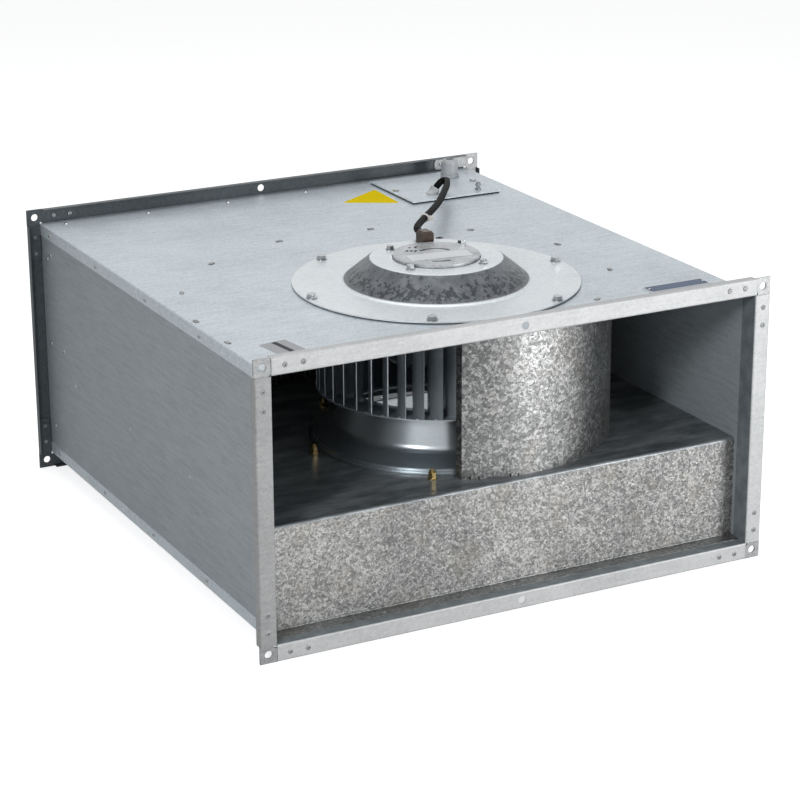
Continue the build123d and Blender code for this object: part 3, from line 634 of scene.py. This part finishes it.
class Finish(Enum):
    """Every finish on the fan."""

    CASING = ZincCoat(
        "casing_sheet", (0.40, 0.45, 0.485), (0.525, 0.585, 0.625), (0.64, 0.70, 0.735),
        flake=0.0022, contrast=1.2, streak=0.35, along=(20.0, 180.0, 180.0), speck=0.25,
        rough=(0.36, 0.46), metal=0.35, tilt=0.03,
    )
    # Painted shade: the side panels take a darker copy of the top panel's zinc.
    SIDE = ZincCoat(
        "side_sheet_painted_shade", (0.225, 0.252, 0.270), (0.29, 0.322, 0.345), (0.355, 0.39, 0.415),
        flake=0.0022, contrast=1.1, streak=0.6, along=(320.0, 30.0, 320.0), speck=0.45,
        rough=(0.42, 0.52), metal=0.05, tilt=0.03,
    )
    PARTITION = StepCoat("partition_sheet", ZincCoat(
        "partition_front", (0.105, 0.107, 0.106), (0.240, 0.242, 0.238), (0.52, 0.52, 0.507),
        flake=0.0025, contrast=1.25, cloud=0.5, streak=0.03, stain=(0.235, 0.205, 0.165),
        stained=0.30, rough=(0.36, 0.52), metal=0.75, tilt=0.22,
    ))
    SCROLL = ZincCoat(
        "scroll_sheet", (0.095, 0.100, 0.102), (0.205, 0.209, 0.209), (0.56, 0.56, 0.55),
        flake=0.0033, contrast=1.05, cloud=0.45, streak=0.03, stain=(0.19, 0.165, 0.135),
        stained=0.25, rough=(0.34, 0.42), metal=1.0, tilt=0.14,
    )
    CONE = ZincCoat(
        "cone_sheet", (0.37, 0.41, 0.435), (0.42, 0.46, 0.485), (0.47, 0.51, 0.535),
        flake=0.004, contrast=0.4, streak=0.3, rough=(0.28, 0.285), metal=0.90, tilt=0.001,
    )
    WHEEL = ZincCoat(
        "wheel_sheet", (0.33, 0.37, 0.40), (0.41, 0.455, 0.485), (0.49, 0.535, 0.565),
        flake=0.004, contrast=0.6, streak=0.3, rough=(0.28, 0.38), metal=0.6, tilt=0.02,
    )
    DOME = DomeCoat("dome_sheet", ZincCoat(
        "dome_flat", (0.54, 0.58, 0.61), (0.68, 0.72, 0.745), (0.79, 0.82, 0.84),
        flake=0.0030, contrast=0.8, streak=0.3, speck=0.3,
        rough=(0.34, 0.46), metal=0.35, tilt=0.04,
    ))
    OUTLET_RAIL = RailCoat("outlet_rail_sheet", ZincCoat(
        "outlet_face", (0.36, 0.368, 0.372), (0.45, 0.458, 0.462), (0.54, 0.548, 0.552),
        flake=0.0026, contrast=0.9, streak=0.35, rough=(0.48, 0.58), metal=0.25, tilt=0.02,
    ))
    SHADED_RAIL = RailCoat("shaded_rail_sheet", ZincCoat(
        "shaded_face", (0.225, 0.226, 0.228), (0.30, 0.302, 0.304), (0.38, 0.382, 0.384),
        flake=0.0026, contrast=0.9, streak=0.35, rough=(0.42, 0.52), metal=0.35, tilt=0.02,
    ))
    CORNER = ZincCoat(
        "corner_sheet", (0.22, 0.226, 0.23), (0.315, 0.321, 0.325), (0.42, 0.426, 0.43),
        flake=0.0030, contrast=1.0, streak=0.2, rough=(0.38, 0.50), metal=0.45, tilt=0.04,
    )
    # Painted shade: the back coat of the inlet flange is dark slate.
    INLET_RAIL = FarRailCoat("inlet_rail_sheet", ZincCoat(
        "inlet_face", (0.36, 0.368, 0.372), (0.45, 0.458, 0.462), (0.54, 0.548, 0.552),
        flake=0.0026, contrast=0.9, streak=0.35, rough=(0.42, 0.52), metal=0.25, tilt=0.02,
    ), ZincCoat(
        "inlet_back_painted_shade", (0.045, 0.056, 0.063), (0.066, 0.080, 0.088), (0.09, 0.106, 0.115),
        flake=0.003,
    ))
    # The rivets, screws, cast alloy, glands and grommet carry painted shade in their holes and
    # corners.
    RIVET = Plain("rivet_steel", (0.34, 0.35, 0.36), rough=0.24, metal=0.85, painted_shade_reach=0.0030)
    SCREW = Plain("screw_zinc", (0.42, 0.44, 0.45), rough=0.14, metal=1.0, painted_shade_reach=0.0022)
    YELLOW = Plain("yellow_zinc", (0.36, 0.27, 0.12), rough=0.20, metal=0.95, uneven=0.25)
    GASKET = Plain("gasket_rubber", (0.010, 0.011, 0.012), rough=0.75, shine=0.2)
    CAST = Plain(
        "cast_alloy", (0.42, 0.435, 0.45), rough=0.40, metal=0.4,
        grain=0.0018, uneven=0.45, relief=0.2, painted_shade_reach=0.005,
    )
    ROTOR = Plain("rotor_coat", (0.10, 0.115, 0.125), rough=0.45, metal=0.7)
    SHAFT = Plain("ground_steel", (0.55, 0.56, 0.57), rough=0.22, metal=1.0)
    CORE = Plain("varnished_core", (0.12, 0.085, 0.06), rough=0.5, metal=0.2, uneven=0.3)
    BLOCK = Plain("block_plastic", (0.62, 0.60, 0.54), rough=0.5)
    GLAND = Plain("gland_plastic", (0.36, 0.37, 0.385), rough=0.34, relief=0.03, painted_shade_reach=0.004)
    BROWN = Plain(
        "gland_brown", (0.050, 0.033, 0.024), rough=0.26, metal=0.30,
        uneven=0.3, painted_shade_reach=0.003, shine=0.25,
    )
    GROMMET = Plain("grommet_rubber", (0.52, 0.53, 0.54), rough=0.4, painted_shade_reach=0.005)
    LEAD = Plain(
        "lead_sheath", (0.004, 0.0045, 0.005), rough=0.25, relief=0.02, coat=0.12, shine=0.0,
    )
    TIE = Plain("tie_nylon", (0.66, 0.65, 0.61), rough=0.35)
    PLATE = Plain("label_foil", (0.62, 0.64, 0.66), rough=0.34, metal=0.3, uneven=0.06)
    BLUE = Plain("badge_field", (0.034, 0.072, 0.150), rough=0.35, uneven=0.2, shine=0.25)
    GREY = Plain("sticker_grey", (0.34, 0.35, 0.37), rough=0.5, uneven=0.05)
    BLACK = Plain("sticker_black", (0.008, 0.008, 0.009), rough=0.5, shine=0.2)
    VINYL = Plain("sticker_yellow", (0.80, 0.60, 0.0), rough=0.6, uneven=0.05, shine=0.03)


FINISH_NODES: dict[Finish, tuple[str, ...]] = {
    Finish.CASING: ("top_panel", "bottom_panel", "terminal_cover", "terminal_tray"),
    Finish.SIDE: ("left_panel", "right_panel"),
    Finish.PARTITION: ("partition_plate",),
    Finish.SCROLL: ("scroll_wrapper",),
    Finish.CONE: ("inlet_cone",),
    Finish.WHEEL: ("impeller_blades", "impeller_ring", "impeller_back_plate"),
    Finish.DOME: ("motor_plate",),
    Finish.CAST: ("motor_flange",),
    Finish.SCREW: (
        "motor_plate_screws", "motor_plate_nuts", "motor_flange_screws", "impeller_screws",
        "terminal_screws", "earth_stud",
    ),
    Finish.YELLOW: ("cone_bolts", "cone_nuts"),
    Finish.CORNER: (
        "inlet_corner_top_left", "outlet_corner_top_left", "outlet_corner_top_right",
        "outlet_corner_bottom_left", "outlet_corner_bottom_right",
    ),
    Finish.SHADED_RAIL: ("outlet_rail_left",),
    Finish.RIVET: ("seam_rivets", "leg_rivets", "outlet_corner_rivets", "inlet_corner_rivets"),
    Finish.GASKET: ("motor_plate_gasket", "terminal_gasket"),
    Finish.SHAFT: ("bearing_upper", "bearing_lower", "motor_shaft"),
    Finish.CORE: ("stator",),
    Finish.ROTOR: ("rotor_ring", "rotor_shell"),
    Finish.BLOCK: ("terminal_block",),
    Finish.GLAND: ("gland_body", "gland_cap"),
    Finish.BROWN: ("motor_gland",),
    Finish.GROMMET: ("lead_grommet",),
    Finish.TIE: ("lead_tie",),
}
NODE_FINISH = {name: finish for finish, names in FINISH_NODES.items() for name in names}

# The rails and corners of each flange that the table leaves out.
FLANGE_FINISH = {"outlet_": Finish.OUTLET_RAIL, "inlet_": Finish.INLET_RAIL}


class Wardrobe:
    """Makes each finish once and hands it out."""

    def __init__(self) -> None:
        """Start empty."""
        self._made: dict[Finish, bpy.types.Material] = {}

    def get(self, finish: Finish) -> bpy.types.Material:
        """Material of a finish."""
        if finish not in self._made:
            self._made[finish] = finish.value.make()
        return self._made[finish]

    def dress(self, obj: bpy.types.Object, finish: Finish) -> None:
        """Give an object one finish.

        Args:
            obj: a solid of the frame or a new piece.
            finish: the finish to put on it.
        """
        material = self.get(finish)
        if not obj.material_slots:
            obj.data.materials.append(material)
        for slot in obj.material_slots:
            slot.material = material


class Bench:
    """Shapes new pieces with Blender's own modelling operators."""

    CORNER_SEGMENTS: ClassVar[int] = 5
    # Rounding of a label's edges, as a share of its thickness.
    EDGE_SHARE: ClassVar[float] = 0.25
    # A rivet head: its sides, the share of its height that is rounded, and the smooth angle.
    HEAD_SIDES: ClassVar[int] = 24
    HEAD_ROUNDED: ClassVar[float] = 0.8
    HEAD_SMOOTH: ClassVar[float] = math.radians(40.0)

    @staticmethod
    def clear() -> None:
        """Deselect everything."""
        bpy.ops.object.select_all(action="DESELECT")

    @staticmethod
    def take(obj: bpy.types.Object) -> None:
        """Select one object alone and make it the active one."""
        Bench.clear()
        obj.select_set(True)
        bpy.context.view_layer.objects.active = obj

    @staticmethod
    def settle(obj: bpy.types.Object) -> None:
        """Put an object's place into its mesh."""
        Bench.take(obj)
        bpy.ops.object.transform_apply(location=True, rotation=True, scale=True)

    @staticmethod
    def edit_all(mode: str) -> None:
        """Open edit mode with everything selected."""
        bpy.ops.object.mode_set(mode="EDIT")
        bpy.ops.mesh.select_mode(type=mode)
        bpy.ops.mesh.select_all(action="SELECT")

    @staticmethod
    def select_faces(obj: bpy.types.Object, keep: Callable[[bpy.types.MeshPolygon], bool]) -> None:
        """Select faces by a rule and stay in edit mode."""
        bpy.ops.object.mode_set(mode="EDIT")
        bpy.ops.mesh.select_mode(type="FACE")
        bpy.ops.mesh.select_all(action="DESELECT")
        bpy.ops.object.mode_set(mode="OBJECT")
        for face in obj.data.polygons:
            face.select = keep(face)
        bpy.ops.object.mode_set(mode="EDIT")

    @staticmethod
    def modifier(obj: bpy.types.Object, kind: str, **settings: Any) -> None:
        """Add a modifier and apply it."""
        Bench.take(obj)
        made = obj.modifiers.new(kind.lower(), kind)
        for key, value in settings.items():
            setattr(made, key, value)
        bpy.ops.object.modifier_apply(modifier=made.name)

    @staticmethod
    def sheet_label(
        name: str, size: Pair, place: Point, turn: float, thick: float, rounded: float,
    ) -> bpy.types.Object:
        """Thin label with rounded corners, lying flat.

        Args:
            name: the piece's name.
            size: width and depth.
            place: middle of its lower face.
            turn: turn about Z, in radians.
            thick: thickness.
            rounded: corner radius.

        Returns:
            The label.
        """
        Bench.clear()
        bpy.ops.mesh.primitive_plane_add(size=1.0, location=(0.0, 0.0, 0.0))
        obj = bpy.context.object
        obj.name = name
        obj.scale = (size[0], size[1], 1.0)
        Bench.settle(obj)
        Bench.edit_all("VERT")
        bpy.ops.mesh.bevel(offset=rounded, segments=Bench.CORNER_SEGMENTS, affect="VERTICES")
        bpy.ops.object.mode_set(mode="OBJECT")
        Bench.modifier(obj, "SOLIDIFY", thickness=thick, offset=1.0)
        edge = thick * Bench.EDGE_SHARE
        Bench.modifier(obj, "BEVEL", width=edge, segments=2, limit_method="ANGLE")
        obj.rotation_euler = (0.0, 0.0, turn)
        obj.location = place
        Bench.settle(obj)
        return obj

    @staticmethod
    def button(name: str, radius: float, height: float, place: Point) -> bpy.types.Object:
        """Low round rivet head with a rounded rim.

        Args:
            name: the piece's name.
            radius: radius of the head.
            height: height of the head.
            place: middle of its foot.

        Returns:
            The head.
        """
        Bench.clear()
        middle = (place[0], place[1], place[2] + height / 2)
        bpy.ops.mesh.primitive_cylinder_add(
            vertices=Bench.HEAD_SIDES, radius=radius, depth=height, location=middle,
        )
        obj = bpy.context.object
        obj.name = name
        Bench.settle(obj)
        Bench.select_faces(obj, lambda face: face.normal.z > 0.9)
        bpy.ops.mesh.bevel(offset=height * Bench.HEAD_ROUNDED, segments=4, affect="EDGES")
        bpy.ops.object.mode_set(mode="OBJECT")
        Bench.take(obj)
        bpy.ops.object.shade_smooth_by_angle(angle=Bench.HEAD_SMOOTH)
        return obj


@dataclass
class Casing:
    """Sheet casing with its flanges, as the frame gives them."""

    wardrobe: Wardrobe

    def dress(self) -> list[str]:
        """Put a finish on each solid of the frame.

        Returns:
            Names of the dressed nodes.
        """
        done = []
        for name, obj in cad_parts.items():
            prefix = name.split("_")[0] + "_"
            finish = NODE_FINISH.get(name, FLANGE_FINISH.get(prefix))
            if finish is not None:
                self.wardrobe.dress(obj, finish)
                done.append(name)
        return done


@dataclass
class CasingLabels:
    """Blank plates and stickers on the top panel and on the motor."""

    wardrobe: Wardrobe
    panel: float = PANEL_TOP
    foil: float = 0.0003
    badge_size: Pair = (0.080, 0.022)
    badge_thick: float = 0.0008
    badge_rounded: float = 0.002
    badge_place: Pair = (0.240, -0.269)
    badge_rim: Pair = (0.0035, 0.0045)
    field_rounded: float = 0.0012
    badge_rivet_reach: float = 0.0362
    badge_rivet_radius: float = 0.0019
    badge_rivet_height: float = 0.0011
    sticker_size: Pair = (0.033, 0.040)
    sticker_place: Pair = (-0.2515, -0.2615)
    sticker_turn: float = math.radians(8.0)
    sticker_rounded: float = 0.001
    bar_width: float = 0.006
    bar_share: float = 0.92
    bar_shift: float = 0.001
    bar_rounded: float = 0.0005
    vinyl_corners: tuple[Pair, ...] = ((0.073, 0.247), (0.136, 0.212), (0.139, 0.287))
    vinyl_rounded: float = 0.003
    rating_size: Pair = (0.074, 0.023)
    rating_place: Pair = (0.007, -0.133)
    rating_turn: float = math.radians(-8.0)
    made: list[bpy.types.Object] = field(default_factory=list)

    def keep(self, obj: bpy.types.Object, finish: Finish, slot: str = "casing_zinc") -> None:
        """Dress a label and let it ride on the casing."""
        self.wardrobe.dress(obj, finish)
        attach(obj, "casing")
        self.made.append(obj)

    def badge(self) -> None:
        """Blank riveted plate with a dark field."""
        x, y = self.badge_place
        plate = Bench.sheet_label(
            "badge_plate", self.badge_size, (x, y, self.panel), 0.0,
            self.badge_thick, self.badge_rounded,
        )
        self.keep(plate, Finish.PLATE)
        inner = tuple(size - rim for size, rim in zip(self.badge_size, self.badge_rim))
        top = self.panel + self.badge_thick
        sunk = Bench.sheet_label(
            "badge_field", inner, (x, y, top), 0.0, self.foil, self.field_rounded,
        )
        self.keep(sunk, Finish.BLUE)
        for side, name in ((-1, "badge_rivet_left"), (1, "badge_rivet_right")):
            place = (x + side * self.badge_rivet_reach, y, top)
            head = Bench.button(name, self.badge_rivet_radius, self.badge_rivet_height, place)
            self.keep(head, Finish.RIVET)

    def sticker(self) -> None:
        """Grey sticker with a plain black bar."""
        x, y = self.sticker_place
        turn = self.sticker_turn
        grey = Bench.sheet_label(
            "grey_sticker", self.sticker_size, (x, y, self.panel), turn,
            self.foil, self.sticker_rounded,
        )
        self.keep(grey, Finish.GREY)
        bar_size = (self.bar_width, self.sticker_size[1] * self.bar_share)
        place = (x + self.bar_shift, y, self.panel + self.foil)
        bar = Bench.sheet_label(
            "sticker_bar", bar_size, place, turn, self.foil / 2, self.bar_rounded,
        )
        self.keep(bar, Finish.BLACK)

    def vinyl(self) -> None:
        """Blank three-cornered vinyl sticker."""
        Bench.clear()
        middle = [sum(corner[i] for corner in self.vinyl_corners) / 3 for i in (0, 1)]
        reach = max(math.dist(corner, middle) for corner in self.vinyl_corners)
        bpy.ops.mesh.primitive_circle_add(
            vertices=3, radius=reach, fill_type="NGON", location=(0.0, 0.0, 0.0),
        )
        obj = bpy.context.object
        obj.name = "vinyl_sticker"
        corners = sorted(self.vinyl_corners, key=self._bearing(middle))
        for vertex, corner in zip(obj.data.vertices, corners):
            vertex.co = (*corner, self.panel)
        Bench.edit_all("VERT")
        bpy.ops.mesh.bevel(offset=self.vinyl_rounded, segments=4, affect="VERTICES")
        bpy.ops.mesh.select_all(action="SELECT")
        bpy.ops.mesh.normals_make_consistent(inside=False)
        bpy.ops.object.mode_set(mode="OBJECT")
        if obj.data.polygons[0].normal.z < 0:
            obj.data.flip_normals()
        Bench.modifier(obj, "SOLIDIFY", thickness=self.foil, offset=1.0)
        self.keep(obj, Finish.VINYL)

    @staticmethod
    def _bearing(middle: Sequence[float]) -> Callable[[Sequence[float]], float]:
        """Sort key that walks round a middle point."""
        return lambda corner: math.atan2(corner[1] - middle[1], corner[0] - middle[0])

    def rating(self) -> None:
        """Blank label on the motor's boss."""
        label = Bench.sheet_label(
            "motor_label", self.rating_size, (*self.rating_place, BOSS_TOP), self.rating_turn,
            self.foil, self.sticker_rounded,
        )
        self.keep(label, Finish.PLATE, "motor_cast")

    def make(self) -> list[bpy.types.Object]:
        """Make all labels."""
        self.badge()
        self.sticker()
        self.vinyl()
        self.rating()
        return self.made


@dataclass
class MotorLead:
    """Black lead from the motor's gland to the grommet on the terminal cover."""

    wardrobe: Wardrobe
    radius: float = 0.0042
    length: float = 0.351
    route: tuple[Point, ...] = (
        (0.0240, -0.0595, 0.3620),
        (0.0240, -0.0500, 0.3620),
        (0.029075, -0.035938, 0.3623),
        (0.045936, -0.012937, 0.3605),
        (0.0700, 0.015955, 0.3588),
        (0.091936, 0.042041, 0.3572),
        (0.117964, 0.075982, 0.3540),
        (0.142028, 0.109922, 0.3518),
        (0.165928, 0.146107, 0.3492),
        (0.186063, 0.176962, 0.3468),
        (0.198504, 0.199963, 0.3445),
        (0.206526, 0.213988, 0.3430),
        (0.2012, 0.2210, 0.34159),
        (0.19349, 0.2210, 0.33239),
    )

    def make(self) -> bpy.types.Object:
        """Build the lead as one smooth spline through its route."""
        curve = bpy.data.curves.new("lead_line", "CURVE")
        curve.dimensions = "3D"
        spline = curve.splines.new("NURBS")
        spline.points.add(len(self.route) - 1)
        for point, place in zip(spline.points, self.route):
            point.co = (*place, 1.0)
        spline.order_u = 3
        spline.use_endpoint_u = True
        spline.resolution_u = 10
        curve.bevel_depth = self.radius
        curve.bevel_resolution = 5
        curve.use_fill_caps = True
        obj = bpy.data.objects.new("motor_lead_sheath", curve)
        bpy.context.scene.collection.objects.link(obj)
        self.wardrobe.dress(obj, Finish.LEAD)
        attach(obj, "casing")
        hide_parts("motor_lead")
        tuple(self.route[0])
        return obj


@dataclass
class Studio:
    """Pale floor, level soft light and the photographer's camera."""

    camera_place: Point = (-1.3239, -2.5861, 1.1456)
    azimuth: float = math.radians(-27.548)
    elevation: float = math.radians(19.057)
    roll: float = math.radians(0.262)
    lens: float = 114.476
    sensor: float = 36.0
    floor_span: float = 14.0
    floor_drop: float = 0.0005
    floor_shades: tuple[Colour, Colour] = ((0.80, 0.80, 0.80), (0.82, 0.82, 0.82))
    floor_dim: Colour = HALF
    floor_rough: float = 0.9
    floor_glow: float = 0.66
    floor_in_metal: float = 0.42
    world_level: float = 0.28

    def camera(self) -> None:
        """Stand the camera where the photograph was taken from."""
        data = bpy.data.cameras.new("photo_camera")
        data.lens = self.lens
        data.sensor_width = self.sensor
        data.clip_start = 0.05
        data.clip_end = 60.0
        camera = bpy.data.objects.new("photo_camera", data)
        bpy.context.scene.collection.objects.link(camera)
        flat = math.cos(self.elevation)
        ahead = Vector((
            -math.sin(self.azimuth) * flat,
            math.cos(self.azimuth) * flat,
            -math.sin(self.elevation),
        ))
        camera.rotation_mode = "QUATERNION"
        camera.location = self.camera_place
        turn = Quaternion(ahead, self.roll)
        camera.rotation_quaternion = turn @ ahead.to_track_quat("-Z", "Y")
        bpy.context.scene.camera = camera

    @staticmethod
    def seen(graph: Graph, in_metal: float = 1.0) -> Signal:
        """How far a ray shows the background: 1 in the camera, a share in metal or glass."""
        names = ("Is Camera Ray", "Is Glossy Ray", "Is Transmission Ray")
        camera, glossy, through = graph.read("ShaderNodeLightPath", *names)
        return (camera + glossy * in_metal + through * in_metal).clamp()

    def cloth(self, graph: Graph, colour: Any) -> Signal:
        """Dull surface of the floor."""
        inputs = {"Base Color": colour, "Roughness": self.floor_rough}
        return graph.node("ShaderNodeBsdfPrincipled", None, inputs)[0]

    def floor(self) -> None:
        """Lay a floor that stays white in the picture and still takes a shadow."""
        Bench.clear()
        below = (0.0, 0.0, -self.floor_drop)
        bpy.ops.mesh.primitive_plane_add(size=self.floor_span, location=below)
        floor = bpy.context.object
        floor.name = "studio_floor"
        Bench.settle(floor)
        material, graph = new_material("studio_floor")
        tone = graph.noise(graph.places(), 3.0)[0]
        cloth = self.cloth(graph, graph.mix(tone, *self.floor_shades))
        under = self.cloth(graph, (*self.floor_dim, 1.0))
        inputs = {"Color": WHITE, "Strength": self.floor_glow}
        glow = graph.node("ShaderNodeEmission", None, inputs)[0]
        lit = graph.node("ShaderNodeAddShader", None, {0: cloth, 1: glow})[0]
        seen = self.seen(graph, self.floor_in_metal)
        both = graph.node("ShaderNodeMixShader", None, {0: seen, 1: under, 2: lit})[0]
        graph.node("ShaderNodeOutputMaterial", None, {"Surface": both})
        floor.data.materials.append(material)

    @staticmethod
    def lamp(name: str, place: Point, aim: Point, size: Pair, power: float) -> None:
        """Hang one soft light.

        Args:
            name: the lamp's name.
            place: where it hangs.
            aim: the point it faces.
            size: its width and height.
            power: watts.
        """
        data = bpy.data.lights.new(name, "AREA")
        data.shape = "RECTANGLE"
        data.size, data.size_y = size
        data.energy = power
        lamp = bpy.data.objects.new(name, data)
        bpy.context.scene.collection.objects.link(lamp)
        lamp.location = place
        facing = Vector(aim) - Vector(place)
        lamp.rotation_mode = "QUATERNION"
        lamp.rotation_quaternion = facing.to_track_quat("-Z", "Y")

    def lamps(self) -> None:
        """Hang the lamps: one overhead, one low at the front right, one at the front left."""
        middle = (0.0, 0.0, 0.17)
        self.lamp("overhead", (0.2, 0.5, 2.4), middle, (1.6, 1.6), 20.0)
        self.lamp("front_right", (1.05, -2.0, 0.36), (0.0, -0.1, 0.26), (0.50, 0.66), 28.0)
        self.lamp("front_left", (-1.43, -1.28, 1.16), middle, (0.40, 0.40), 14.0)

    def world(self) -> None:
        """Light the surroundings evenly, and let the camera see them white."""
        world = bpy.data.worlds.new("studio")
        bpy.context.scene.world = world
        world.use_nodes = True
        graph = Graph(world.node_tree)
        plain, level = (
            graph.node("ShaderNodeBackground", None, {"Color": colour, "Strength": strength})[0]
            for colour, strength in ((WHITE, 1.0), (COOL_WHITE, self.world_level))
        )
        inputs = {0: self.seen(graph), 1: level, 2: plain}
        both = graph.node("ShaderNodeMixShader", None, inputs)[0]
        graph.node("ShaderNodeOutputWorld", None, {"Surface": both})

    def make(self) -> None:
        """Set up the whole studio."""
        self.camera()
        self.floor()
        self.lamps()
        self.world()
        bpy.context.scene.view_settings.view_transform = "Standard"


def main() -> None:
    """Build the studio, dress the fan and report each piece."""
    logging.basicConfig(level=logging.INFO, format="%(name)s %(message)s")
    wardrobe = Wardrobe()
    Studio().make()
    lead = MotorLead(wardrobe).make()
    log.info("lead %s", lead.name)
    dressed = Casing(wardrobe).dress()
    log.info("dressed %d nodes of %d", len(dressed), len(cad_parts))
    for piece in CasingLabels(wardrobe).make():
        log.info("label %s", piece.name)


if __name__ == "__main__":
    main()
